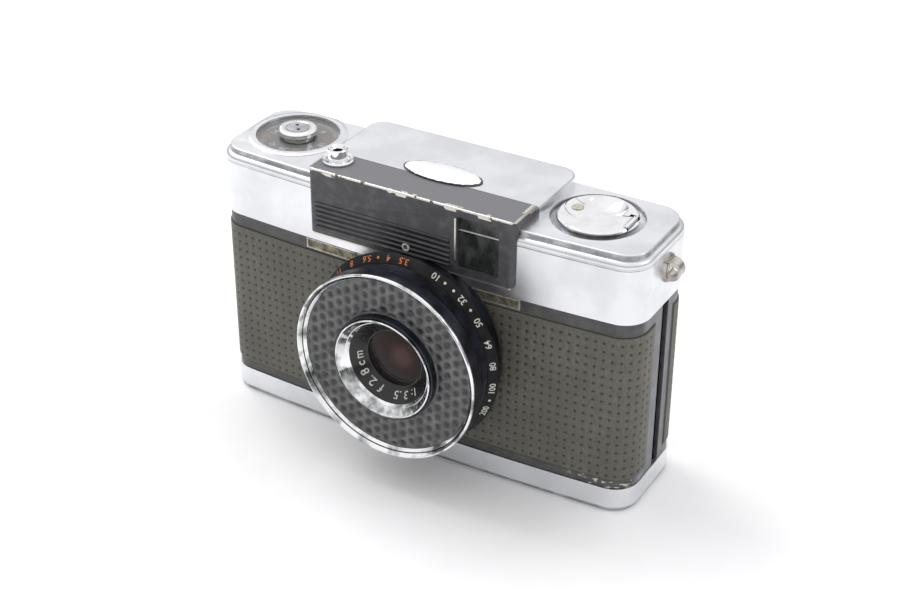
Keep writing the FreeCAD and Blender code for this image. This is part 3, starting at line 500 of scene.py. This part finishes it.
def dial_face():
    """Smoky grey dial, a little darker round its middle."""
    shader = Shader("dial_face", linear(124, 122, 118), 0.0, 0.5)
    out = shader.ramp(shader.distance(0, COUNTER[0], 1, COUNTER[1]), 4.0, 9.6)
    cloud = shader.noise(2.0, 4.0)
    inner = shader.mix(cloud, linear(92, 90, 84), linear(108, 106, 100))
    shader.drive("Base Color", shader.mix(out, inner, linear(122, 118, 108)))
    return shader.material


def clouded(name, dark, light, metallic, roughness, size, relief=None, detail=4.0):
    """Finish that wanders between two tones; relief is (size, detail, strength, depth) of a grain."""
    shader = Shader(name, linear(*dark), metallic, roughness)
    cloud = shader.noise(size, detail)
    shader.drive("Base Color", shader.mix(cloud, linear(*dark), linear(*light)))
    if relief:
        grain_size, grain_detail, strength, depth = relief
        shader.bump(shader.noise(grain_size, grain_detail), strength, depth)
    return shader.material


def ink(name, color):
    """Paint in an engraved figure, slightly dirty."""
    shader = Shader(name, color, 0.0, 0.5)
    dirt = shader.noise(0.5, 4.0, low=0.3, high=0.75)
    darker = tuple(c * 0.62 for c in color[:3]) + (1.0,)
    shader.drive("Base Color", shader.mix(dirt, color, darker))
    return shader.material


def floor_paper():
    shader = Shader("floor_paper", (0.93, 0.93, 0.935, 1.0), 0.0, 0.6)
    dark, light = (0.925, 0.925, 0.93, 1.0), (0.935, 0.935, 0.94, 1.0)
    shader.drive("Base Color", shader.mix(shader.noise(6.0, 3.0), dark, light))
    return shader.set("Specular IOR Level", 0.2).material


FINISHES = {
    "satin_chrome": satin_chrome(),
    "polished_chrome": polished_chrome(),
    "black_enamel": black_enamel(),
    "painted_casting": frame_paint(),
    "leatherette": leatherette(),
    "worn_brass": worn_brass(),
    "lug_steel": lug_steel(),
    "barrel_black": barrel_black(),
    "scale_black": scale_black(),
    "optic_glass": optic_glass(),
    "cell_plastic": cell_plastic(),
    "selenium": clouded("selenium", (40, 38, 48), (66, 62, 74), 0.6, 0.4, 2.0, detail=5.0),
    "dial_face": dial_face(),
    "gear_brass": clouded("gear_brass", (176, 148, 88), (214, 188, 126), 1.0, 0.3, 2.0,
                          (0.2, 2.0, 0.1, 0.01)),
    "bright_steel": bright_steel(),
    "black_steel": clouded("black_steel", (26, 26, 26), (44, 44, 44), 0.3, 0.55, 1.5,
                           (0.3, 3.0, 0.15, 0.02)),
    "black_plastic": clouded("black_plastic", (30, 30, 30), (46, 46, 46), 0.0, 0.45, 1.2,
                             (0.25, 2.0, 0.15, 0.02)),
}
FINISHES["frame_paint"] = FINISHES["painted_casting"]
FINISHES["lens_casting"] = FINISHES["barrel_black"]
GLOSS_BLACK = gloss_black()
STREAKED_CHROME = polished_chrome("streaked_chrome", (128, 131, 130))
COATED_GLASS = coated_glass()
WINDOW_GLASS = window_glass()
OVAL_SILVER = oval_silver()
WHITE_INK = ink("white_ink", linear(226, 224, 214))
ORANGE_INK = ink("orange_ink", linear(214, 120, 60))


def paint_cad_nodes():
    """Gives every carried-over node the finish of its material slot."""
    for part in frame["record"]["subparts"]:
        mesh = NODES[part["node"]].data
        mesh.materials.clear()
        mesh.materials.append(FINISHES[part["material_slot"]])
    for node, material in (("front_element", COATED_GLASS), ("finder_window", WINDOW_GLASS)):
        NODES[node].data.materials.clear()
        NODES[node].data.materials.append(material)


# ---------------------------------------------------- mesh helpers
def add_object(name, data):
    obj = bpy.data.objects.new(name, data)
    bpy.context.scene.collection.objects.link(obj)
    return obj


def piece(name, verts, faces, material, body, sharp_deg=32):
    """Mesh piece in the row frame, from points in millimetres, riding on its body."""
    mesh = bpy.data.meshes.new(name)
    mesh.from_pydata([Vector(v) * MM for v in verts], [], faces)
    mesh.validate()
    mesh.materials.append(material)
    mesh.shade_smooth()
    mesh.set_sharp_from_angle(angle=math.radians(sharp_deg))
    obj = add_object(name, mesh)
    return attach(obj, body)


def add_relief(obj, depths):
    """Stores how deep each point lies, for the materials that darken their dips."""
    obj.data.attributes.new("relief", "FLOAT", "POINT").data.foreach_set("value", depths)


def round_edges(obj, width):
    bevel = obj.modifiers.new("round", "BEVEL")
    bevel.width = width * MM
    bevel.segments = 2
    bevel.limit_method = "ANGLE"
    bevel.angle_limit = math.radians(SHARP_DEG)
    return obj


def tube_faces(rows, segments):
    """Quads between rows of points that each go once round."""
    faces = []
    for i in range(rows - 1):
        for k in range(segments):
            m = (k + 1) % segments
            faces.append((i * segments + k, i * segments + m,
                          (i + 1) * segments + m, (i + 1) * segments + k))
    return faces


def lathe_mesh(profile, place, segments):
    """Closed ring turned from a closed profile of (radius, height) pairs."""
    count = len(profile)
    verts = []
    for i in range(segments):
        angle = 2 * math.pi * i / segments
        verts += [place(r, angle, h) for r, h in profile]
    faces = []
    for i in range(segments):
        j = (i + 1) % segments
        for k in range(count):
            m = (k + 1) % count
            faces.append((i * count + k, i * count + m, j * count + m, j * count + k))
    return verts, faces


def about_lens(r, angle, y):
    """Point at that radius round the lens axis, clockwise from the top as seen from the front."""
    return (LENS_X + r * math.sin(angle), y, LENS_Z + r * math.cos(angle))


def about_counter(r, angle, z):
    """Point at that radius round the upright axis of the frame counter."""
    return (COUNTER[0] + r * math.sin(angle), COUNTER[1] + r * math.cos(angle), z)


def lens_ring(name, profile, slot, rounding, body="camera_body", material=None):
    verts, faces = lathe_mesh(profile, about_lens, RING_SEGMENTS)
    ring = piece(name, verts, faces, material or FINISHES[slot], body)
    return round_edges(ring, rounding)


def curve_mesh(curve):
    """Points and faces of a filled curve, which is used up."""
    holder = add_object("curve", curve)
    bpy.context.view_layer.update()
    evaluated = holder.evaluated_get(bpy.context.evaluated_depsgraph_get())
    mesh = bpy.data.meshes.new_from_object(evaluated)
    verts = [tuple(v.co) for v in mesh.vertices]
    faces = [tuple(p.vertices) for p in mesh.polygons]
    bpy.data.objects.remove(holder)
    bpy.data.curves.remove(curve)
    bpy.data.meshes.remove(mesh)
    return verts, faces


# ---------------------------------------------------- leatherette
def front_outline(side_y):
    """Runs of the front's plan outline, from the left side round to the right: (kind, data, length)."""
    r = FRONT_CORNER_R
    reach = HALF_W - r
    corner_y = FRONT_Y + BOW_R - math.sqrt((BOW_R - r) ** 2 - reach ** 2)
    lean = math.asin(reach / (BOW_R - r))
    down = 3 * math.pi / 2
    turn = math.pi / 2 - lean
    return [
        ("line", (-HALF_W, side_y, 0, -1), side_y - corner_y),
        ("arc", (-reach, corner_y, r, math.pi, turn), r * turn),
        ("arc", (0, FRONT_Y + BOW_R, BOW_R, down - lean, 2 * lean), BOW_R * 2 * lean),
        ("arc", (reach, corner_y, r, down + lean, turn), r * turn),
        ("line", (HALF_W, corner_y, 0, 1), side_y - corner_y),
    ]


def back_outline():
    """Runs of the back's plan outline, from the right side round to the left."""
    r = BACK_CORNER_R
    reach = HALF_W - r
    corner_y = BACK_Y - r
    quarter = math.pi / 2
    return [
        ("line", (HALF_W, BACK_LEATHER_SIDE_Y, 0, 1), corner_y - BACK_LEATHER_SIDE_Y),
        ("arc", (reach, corner_y, r, 0, quarter), r * quarter),
        ("line", (reach, BACK_Y, -1, 0), 2 * reach),
        ("arc", (-reach, corner_y, r, quarter, quarter), r * quarter),
        ("line", (-HALF_W, corner_y, 0, -1), corner_y - BACK_LEATHER_SIDE_Y),
    ]


def along(outline, s):
    """Point and outward normal at the distance s along the outline."""
    for kind, data, length in outline:
        if s <= length + 1e-6 or (kind, data, length) == outline[-1]:
            break
        s -= length
    if kind == "line":
        x, y, dx, dy = data
        return (x + dx * s, y + dy * s), (dy, -dx)
    x, y, r, start, turn = data
    angle = start + turn * s / length
    return (x + r * math.cos(angle), y + r * math.sin(angle)), (math.cos(angle), math.sin(angle))


def dimple(s, z):
    """0 on the flat and 1 at the bottom of an embossed dimple of the square grid."""
    du = (s / LEATHER_PITCH[0] + 0.5) % 1 - 0.5
    dv = (z / LEATHER_PITCH[1] + 0.5) % 1 - 0.5
    return math.exp(-((du / 0.22) ** 2 + (dv / 0.19) ** 2))


def leather_sheet(name, outline, body, node, keep_out=None):
    """Embossed sheet over the outline, with a narrow groove just inside its border; the material paints
    shade into the groove and the dimples.
    """
    total = sum(run[2] for run in outline)
    bottom, top = LEATHER_Z
    columns = round(total / LEATHER_PITCH[0] * GRID)
    rows = round((top - bottom) / LEATHER_PITCH[1] * GRID)
    verts, depths, faces = [], [], []
    for i in range(columns + 1):
        s = total * i / columns
        (x, y), (nx, ny) = along(outline, s)
        for j in range(rows + 1):
            z = bottom + (top - bottom) * j / rows
            edge = min(s, total - s, z - bottom, top - z)
            groove = max(0.0, 1 - abs(edge - 0.3) / 0.26)
            pit = dimple(s - total / 2, z - bottom - 1.5) * min(1.0, max(0.0, (edge - 0.7) / 0.4))
            ripple = 0.012 * noise.noise(Vector((s * 1.9, z * 0.35, 0.0)))
            turned_in = SKIN * 0.9 if edge < 0.02 else 0.0
            inward = DIMPLE_DEPTH * pit + GROOVE_DEPTH * groove ** 0.7 + ripple + turned_in
            verts.append((x - nx * inward, y - ny * inward, z))
            depths.append(min(1.0, 0.85 * pit + 1.1 * groove))
    for i in range(columns):
        for j in range(rows):
            first, second = i * (rows + 1) + j, (i + 1) * (rows + 1) + j
            quad = (first, second, second + 1, first + 1)
            if keep_out and any(keep_out(verts[v]) for v in quad):
                continue
            faces.append(quad)
    sheet = piece(name, verts, faces, FINISHES["leatherette"], body, sharp_deg=60)
    add_relief(sheet, depths)
    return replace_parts(sheet, node)


def under_flange(point):
    """Whether the flange of the lens hides a point of the front sheet."""
    return math.hypot(point[0] - LENS_X, point[2] - LENS_Z) < FLANGE_R + 0.3 and point[1] < 0


# ---------------------------------------------------- lens front
def lens_array(x, z):
    """0 on the walls and 1 at the bottom of a dip of the staggered light-cell window."""
    column = x / CELL_PITCH[0]
    reaches = []
    for i in (math.floor(column), math.floor(column) + 1):
        row = z / CELL_PITCH[1] - (0.5 if i % 2 else 0.0)
        dz = (row - round(row)) * CELL_PITCH[1]
        dx = (column - i) * CELL_PITCH[0]
        reaches.append(math.hypot(dx, dz))
    return math.cos(min(min(reaches) / 1.5, 1.0) * math.pi / 2) ** 1.3


def light_cell_window():
    """Ring of dimpled plastic over the light cell, with a flat back."""
    rings, segments = 44, 560
    thickness = 1.05
    angles = [2 * math.pi * k / segments for k in range(segments)]
    verts, depths = [], []
    for i in range(rings + 1):
        r = WINDOW_INNER_R + (WINDOW_R - WINDOW_INNER_R) * i / rings
        rim = max(0.0, min(1.0, min(r - WINDOW_INNER_R, WINDOW_R - r) / 0.35))
        for angle in angles:
            x, _, z = about_lens(r, angle, 0)
            dip = rim * lens_array(x - LENS_X + CELL_SHIFT[0], z - LENS_Z + CELL_SHIFT[1])
            verts.append((x, WINDOW_FRONT + CELL_DIP * dip, z))
            depths.append(dip)
    faces = tube_faces(rings + 1, segments)
    back = len(verts)
    for r in (WINDOW_INNER_R, WINDOW_R):
        verts += [about_lens(r, angle, WINDOW_FRONT + thickness) for angle in angles]
        depths += [0.0] * segments
    outer = rings * segments
    outer_back = back + segments
    for k in range(segments):
        m = (k + 1) % segments
        faces.append((back + k, back + m, m, k))
        faces.append((outer + k, outer + m, outer_back + m, outer_back + k))
        faces.append((outer_back + k, outer_back + m, back + m, back + k))
    window = piece("light_cell_window", verts, faces, FINISHES["cell_plastic"], "camera_body",
                   sharp_deg=50)
    add_relief(window, depths)
    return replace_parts(window, "cell_window")


def lens_rings():
    """Fine turned versions of the rings that face the viewer."""
    front = [(21.6, -21.35), (22.15, -22.0), (22.3, -22.05), (22.75, -22.75), (22.9, -22.95),
             (23.1, RING_FRONT), (23.3, -22.9), (RING_R, -22.7), (RING_R, -22.25), (23.3, -22.2),
             (22.2, -22.2), (22.2, -21.35)]
    ring = lens_ring("front_ring_polished", front, "polished_chrome", 0.04, material=STREAKED_CHROME)
    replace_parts(ring, "front_chrome_ring")
    cone = [(10.2, -21.05), (10.75, -21.75), (10.85, -21.75), (12.0, -23.4),
            (12.15, CONE_FRONT + 0.06), (12.3, CONE_FRONT), (12.47, -23.55), (12.5, -18.9),
            (11.0, -18.9), (11.0, -21.05)]
    ring = lens_ring("inner_cone_polished", cone, "polished_chrome", 0.03, material=STREAKED_CHROME)
    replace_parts(ring, "chrome_cone")
    glass_cone = [(7.05, -18.0), (7.3, -18.05), (10.05, -20.85), (10.2, -21.0), (10.9, -21.0),
                  (10.9, -16.9), (7.05, -16.9)]
    ring = lens_ring("front_glass_cone", glass_cone, "black_enamel", 0.03, material=GLOSS_BLACK)
    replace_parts(ring, "name_ring")
    barrel = [(11.0, -18.5), (11.0, -18.9), (12.55, -18.9), (12.55, -23.1), (12.75, -23.25),
              (13.1, -23.1), (13.1, -18.9), (22.2, -18.9), (22.2, -22.2), (23.1, -22.2),
              (23.2, -22.1), (23.2, -18.9), (23.0, -18.5)]
    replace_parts(lens_ring("barrel_housing", barrel, "barrel_black", 0.04), "cell_housing")


def speed_ring():
    """Grooved grip and sloping scale of the film speed ring."""
    grip = [(19.05, -18.3), (21.8, -18.3), (22.0, -18.15)]
    for i in range(6):
        y = -18.0 + i * 0.6
        grip += [(22.0, y), (21.68, y + 0.12), (21.68, y + 0.3), (22.0, y + 0.42)]
    grip += [(22.0, -14.3), (19.05, -14.3)]
    ring = lens_ring("speed_ring_grip", grip, "barrel_black", 0.03, body="speed_ring")
    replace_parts(ring, "asa_grip")
    scale = [(19.05, -14.3), (22.1, -14.3), (22.3, -14.15), (23.95, -12.65), (SCALE_R, -12.55),
             (SCALE_R, -12.4), (19.05, -12.4)]
    ring = lens_ring("speed_ring_scale", scale, "scale_black", 0.04, body="speed_ring")
    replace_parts(ring, "asa_scale")


# ---------------------------------------------------- figures
def flat_text(text, height):
    """Points and faces of a short text of that figure height, centred, as a thin closed solid."""
    curve = bpy.data.curves.new("figures", "FONT")
    curve.body = text
    curve.align_x = curve.align_y = "CENTER"
    curve.size = height / 0.7       # a figure is 0.7 of the font's size
    curve.extrude = 0.02
    curve.offset = 0.012 * height
    curve.resolution_u = 3
    return curve_mesh(curve)


def dot(radius):
    """A small raised round dot, as points and faces."""
    sides = 14
    ring = [(radius * math.cos(2 * math.pi * k / sides), radius * math.sin(2 * math.pi * k / sides))
            for k in range(sides)]
    verts = [(x, y, -0.02) for x, y in ring] + [(x, y, 0.02) for x, y in ring]
    faces = [tuple(range(sides))[::-1], tuple(range(sides, 2 * sides))]
    faces += [(k, (k + 1) % sides, sides + (k + 1) % sides, sides + k) for k in range(sides)]
    return verts, faces


def on_cone(degrees, r, y, up, normal, sense):
    """Wraps flat figures on a cone round the lens: up and normal are (radius, y) directions."""
    middle = math.radians(degrees)

    def place(u, v, w):
        radius = r + v * up[0] + w * normal[0]
        return about_lens(radius, middle + sense * u / r, y + v * up[1] + w * normal[1])
    return place


def figure_piece(name, marks, material, body):
    """One piece from (shape, place) pairs."""
    verts, faces = [], []
    for (points, polygons), place in marks:
        start = len(verts)
        verts += [place(*point) for point in points]
        faces += [tuple(start + v for v in polygon) for polygon in polygons]
    return piece(name, verts, faces, material, body)


def speed_figures():
    """Film speeds in white one way round from the top, apertures in orange the other way."""
    r, y = SPEED_FIGURES_AT
    slope = Vector((1.7, 1.5)).normalized()
    up = (-slope[0], -slope[1])
    normal = (slope[1], -slope[0])
    whites = [("10", 21.0), (None, 27.2), (None, 33.5), ("32", 40.4), (None, 47.6), ("50", 55.7),
              ("64", 69.5), ("80", 83.0), ("100", 98.0), (None, 106.5), ("200", 115.0)]
    oranges = [("3.5", 0.0), ("4", -10.0), (None, -17.0), ("5.6", -25.0), ("8", -37.0),
               ("11", -49.0), ("16", -61.0), ("22", -73.0)]
    for name, rows, material in (("speed_figures_white", whites, WHITE_INK),
                                 ("speed_figures_orange", oranges, ORANGE_INK)):
        marks = []
        for text, angle in rows:
            shape = flat_text(text, 1.45) if text else dot(0.33)
            marks.append((shape, on_cone(angle, r, y, up, normal, -1)))
        figure_piece(name, marks, material, "speed_ring")


def lens_figures():
    """Aperture and focal length round the front glass, tops outwards."""
    r, y = LENS_FIGURES_AT
    slope = Vector((3.15, -3.0)).normalized()
    normal = (slope[1], -slope[0])
    rows = (("1:", 136.0), ("3", 153.5), (".5", 169.5), ("f", 198.7), ("2.", 217.5), ("8", 234.5),
            ("c", 248.8), ("m", 264.0))
    marks = [(flat_text(text, 2.0), on_cone(angle, r, y, tuple(slope), normal, 1))
             for text, angle in rows]
    figure_piece("lens_figures", marks, WHITE_INK, "camera_body")


def counter_figures():
    """Frame numbers and their ticks on the counter dial, tops outwards."""
    def on_dial(degrees, r):
        middle = math.radians(degrees)

        def place(u, v, w):
            return about_counter(r + v, middle + u / r, DIAL_TOP + 0.02 + w)
        return place

    corners = ((-0.09, -0.45), (0.09, -0.45), (0.09, 0.45), (-0.09, 0.45))
    tick = ([(x, y, z) for z in (-0.02, 0.02) for x, y in corners],
            [(3, 2, 1, 0), (4, 5, 6, 7), (0, 1, 5, 4), (1, 2, 6, 5), (2, 3, 7, 6), (3, 0, 4, 7)])
    white, orange = [], []
    for i in range(12):
        angle = i * 30.0
        target = orange if i % 3 == 2 else white
        target.append((flat_text(str(i * 6), 1.5), on_dial(angle, 6.7)))
        target += [(tick, on_dial(angle + k * 5.0, 8.9)) for k in range(6)]
    for name, marks, material in (("white", white, WHITE_INK), ("orange", orange, ORANGE_INK)):
        figure_piece("counter_figures_" + name, marks, material, "frame_counter")


# ---------------------------------------------------- small trim
def index_ring():
    """White ring on the plate over the film speed scale."""
    profile = [(0.55, -0.06), (0.62, -0.1), (0.92, -0.1), (0.99, -0.06), (0.99, 0.25), (0.55, 0.25)]

    def place(r, angle, h):
        return (INDEX_AT[0] + r * math.sin(angle), PLATE_FRONT - 0.2 + h,
                INDEX_AT[1] + r * math.cos(angle))
    verts, faces = lathe_mesh(profile, place, 40)
    return piece("index_ring", verts, faces, WHITE_INK, "camera_body")


def cover_crease():
    """Fine bead pressed round the cover just under its ledge."""
    outline = front_outline(BACK_LEATHER_SIDE_Y) + back_outline()
    total = sum(run[2] for run in outline)
    stations = round(total / 0.6)
    section = [(out, BEAD_Z + up) for out, up in
               ((-0.2, 0.0), (0.03, 0.0), (0.07, 0.1), (0.07, 0.25), (0.03, 0.35), (-0.2, 0.35))]
    count = len(section)
    verts, faces = [], []
    for i in range(stations):
        (x, y), (nx, ny) = along(outline, total * i / stations)
        verts += [(x + nx * out, y + ny * out, z) for out, z in section]
        j = (i + 1) % stations
        for k in range(count):
            m = (k + 1) % count
            faces.append((i * count + k, j * count + k, j * count + m, i * count + m))
    satin = FINISHES["satin_chrome"]
    return piece("cover_bead", verts, faces, satin, "camera_body")


def badge():
    """Oval silver plate with a slightly uneven hand-cut edge."""
    levels = [(1.0, 0.0), (1.0, 0.24), (0.985, 0.32), (0.96, 0.35)]
    segments = 160
    verts = []
    for scale, up in levels:
        for k in range(segments):
            angle = 2 * math.pi * k / segments
            x, y = math.cos(angle), math.sin(angle)
            ragged = scale * (1 + 0.012 * noise.noise(Vector((x * 5, y * 5, 0.3))))
            verts.append((BADGE[0] + BADGE_HALF[0] * ragged * x, BADGE[1] + BADGE_HALF[1] * ragged * y,
                          BLOCK_TOP + up))
    faces = tube_faces(len(levels), segments)
    faces.append(tuple(range(segments - 1, -1, -1)))
    faces.append(tuple(range(len(verts) - segments, len(verts))))
    plate = piece("oval_plate", verts, faces, OVAL_SILVER, "camera_body")
    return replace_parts(plate, "oval_badge")


def plate_shell():
    """The black plate with its two upright front corners rounded."""
    r = PLATE_CORNER_R
    steps = 8
    mesh = NODES["front_plate"].data.copy()
    mesh.name = "front_plate_shell"
    work = bmesh.new()
    work.from_mesh(mesh)
    bmesh.ops.remove_doubles(work, verts=work.verts, dist=1e-6)
    for end, inward in ((PLATE_X[0], 1), (PLATE_X[1], -1)):
        for step in range(1, steps + 1):
            depth = r * (1 - math.cos(step * math.pi / (2 * steps)))
            everything = work.verts[:] + work.edges[:] + work.faces[:]
            bmesh.ops.bisect_plane(work, geom=everything, dist=1e-7,
                                   plane_co=((end + inward * depth) * MM, 0, 0), plane_no=(1, 0, 0))
        for vert in work.verts:
            depth = (vert.co.x / MM - end) * inward
            if depth < r:
                arc = r - math.sqrt(max(0.0, r * r - (r - depth) ** 2))
                vert.co.y = max(vert.co.y, (PLATE_FRONT + arc) * MM)
    bmesh.ops.remove_doubles(work, verts=work.verts, dist=2e-6)
    work.to_mesh(mesh)
    work.free()
    mesh.shade_smooth()
    mesh.set_sharp_from_angle(angle=math.radians(30))
    shell = add_object("front_plate_shell", mesh)
    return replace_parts(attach(shell, "camera_body"), "front_plate")


def turned_knob(low, top):
    """Polished knob of the counter: a groove, and a rim with notches in its crown."""
    profile = [(3.5, low), (3.5, top - 2.4), (3.75, top - 2.35), (3.75, top - 2.1),
               (3.5, top - 2.05), (3.5, top - 1.75), (4.3, top - 1.7), (4.6, top - 1.4),
               (4.6, top - 0.45), (4.25, top - 0.04), (4.15, top), (3.0, top), (2.85, top - 0.08),
               (2.8, top - 0.45)]
    crown = (9, 10)
    segments = 144
    count = len(profile)
    verts, faces = [], []
    for i in range(segments):
        notch = 0.12 if i % 4 < 2 else 0.0
        for k, (r, z) in enumerate(profile):
            drop = notch if k in crown else 0.0
            verts.append(about_counter(r, 2 * math.pi * i / segments, z - drop))
        j = (i + 1) % segments
        faces += [(i * count + k, i * count + k + 1, j * count + k + 1, j * count + k)
                  for k in range(count - 1)]
    faces.append(tuple(i * count for i in range(segments)))
    faces.append(tuple(i * count + count - 1 for i in reversed(range(segments))))
    body = piece("counter_knob_turned", verts, faces, FINISHES["polished_chrome"], "frame_counter")
    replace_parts(body, "counter_knob")


def knob_face(top):
    """Sunk face of the knob, a disc with two pin holes."""
    curve = bpy.data.curves.new("face", "CURVE")
    curve.dimensions = "2D"
    curve.fill_mode = "BOTH"
    curve.extrude = 0.17 * MM
    lean = math.radians(50)
    hole_x, hole_y = 1.25 * math.cos(lean), 1.25 * math.sin(lean)
    points = 40
    for x, y, r in ((0, 0, 2.7), (hole_x, -hole_y, 0.45), (-hole_x, hole_y, 0.45)):
        spline = curve.splines.new("POLY")
        spline.points.add(points - 1)
        for k, point in enumerate(spline.points):
            angle = 2 * math.pi * k / points
            point.co = ((x + r * math.cos(angle)) * MM, (y + r * math.sin(angle)) * MM, 0, 1)
        spline.use_cyclic_u = True
    verts, faces = curve_mesh(curve)
    verts = [(x / MM + COUNTER[0], y / MM + COUNTER[1], z / MM + top - 0.25) for x, y, z in verts]
    piece("counter_knob_face", verts, faces, FINISHES["bright_steel"], "frame_counter")


def knob():
    """The counter's knob, its face, and a dark disc under the face that paints shade into the pin
    holes.
    """
    low, top = span("counter_knob", 2)
    turned_knob(low, top)
    knob_face(top)
    # painted shade: a thin black disc under the face makes the pin holes look dark
    socket = [(0.2, top - 0.46), (2.6, top - 0.46), (2.6, top - 0.4), (0.2, top - 0.4)]
    verts, faces = lathe_mesh(socket, about_counter, 48)
    piece("counter_knob_hole_shade", verts, faces, FINISHES["black_steel"], "frame_counter")


def lug_collars():
    """Turned ridge round the root of each strap lug."""
    profile = [(1.9, 0.0), (2.5, 0.0), (2.62, 0.1), (2.62, 0.2), (2.5, 0.3), (1.9, 0.3)]
    wide, tall = 0.62, 1.15
    for side, name in ((-1, "left"), (1, "right")):
        low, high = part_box("strap_lug_" + name)
        middle_y = (low[1] + high[1]) / 2 / MM
        middle_z = (low[2] + high[2]) / 2 / MM
        root = side * (HALF_W + 0.4)

        def place(r, angle, h):
            return (root + side * h, middle_y + wide * r * math.sin(angle),
                    middle_z + tall * r * math.cos(angle))
        verts, faces = lathe_mesh(profile, place, 48)
        piece("lug_ridge_" + name, verts, faces, FINISHES["lug_steel"], "camera_body")


# ---------------------------------------------------- floor, light and camera
def floor():
    """Round sheet of white paper that the object stands on."""
    bpy.ops.mesh.primitive_circle_add(vertices=96, radius=0.85, fill_type="NGON", location=(0, 0, 0))
    sheet = bpy.context.object
    sheet.name = "floor"
    sheet.data.materials.append(floor_paper())


def sky():
    """White room: bright overhead, a little darker at the height of the camera."""
    world = bpy.data.worlds.new("studio")
    bpy.context.scene.world = world
    world.use_nodes = True
    nodes, links = world.node_tree.nodes, world.node_tree.links
    background = nodes["Background"]
    place = nodes.new("ShaderNodeTexCoord")
    split = nodes.new("ShaderNodeSeparateXYZ")
    ramp = nodes.new("ShaderNodeValToRGB")
    links.new(place.outputs["Generated"], split.inputs[0])
    links.new(split.outputs[2], ramp.inputs[0])
    stops = [(0.0, 0.25), (0.16, 0.36), (0.42, 0.98), (1.0, 1.06)]
    while len(ramp.color_ramp.elements) < len(stops):
        ramp.color_ramp.elements.new(0.5)
    for element, (at, level) in zip(ramp.color_ramp.elements, stops):
        element.position = at
        element.color = (level, level, level * 1.01, 1.0)
    links.new(ramp.outputs[0], background.inputs[0])
    background.inputs[1].default_value = 1.0


def softbox(name, location, target, size, power):
    """Rectangular light of that size in metres and power in watts, aimed at the target."""
    light = bpy.data.lights.new(name, "AREA")
    light.shape = "RECTANGLE"
    light.size, light.size_y = size
    light.energy = power
    lamp = add_object(name, light)
    lamp.location = location
    lamp.rotation_euler = (Vector(target) - Vector(location)).to_track_quat("-Z", "Y").to_euler()


def camera():
    """Camera in front of the object, to its right and above it, as in the photograph."""
    azimuth, elevation, roll = (math.radians(angle) for angle in CAMERA_TURN)
    back = Vector((math.sin(azimuth) * math.cos(elevation),
                   -math.cos(azimuth) * math.cos(elevation), math.sin(elevation)))
    right = (-back).cross(Vector((0, 0, 1))).normalized()
    up = back.cross(right)
    across = right * math.cos(roll) + up * math.sin(roll)
    upright = up * math.cos(roll) - right * math.sin(roll)
    turn = Matrix((across, upright, back)).transposed()
    data = bpy.data.cameras.new("camera")
    data.sensor_width = SENSOR_WIDTH
    data.lens = FOCAL_LENGTH
    data.clip_start = 0.01
    eye = add_object("camera", data)
    eye.matrix_world = Matrix.Translation(Vector(CAMERA_AT)) @ turn.to_4x4()
    bpy.context.scene.camera = eye


# ---------------------------------------------------- the whole scene
camera()
floor()
sky()
softbox("key", (-0.5, 0.1, 0.8), (0, 0, 0.04), (0.5, 0.5), 3.4)
softbox("fill", (0.75, 0.2, 0.55), (0, 0, 0.05), (0.4, 0.4), 0.9)
bpy.context.scene.view_settings.view_transform = "Standard"

paint_cad_nodes()
leather_sheet("leather_front", front_outline(FRONT_LEATHER_SIDE_Y), "camera_body",
              "front_leatherette", keep_out=under_flange)
leather_sheet("leather_back", back_outline(), "sliding_back", "back_leatherette")
light_cell_window()
lens_rings()
speed_ring()
speed_figures()
lens_figures()
counter_figures()
index_ring()
cover_crease()
badge()
plate_shell()
knob()
lug_collars()
for node, width in ROUNDED:
    round_edges(NODES[node], width)
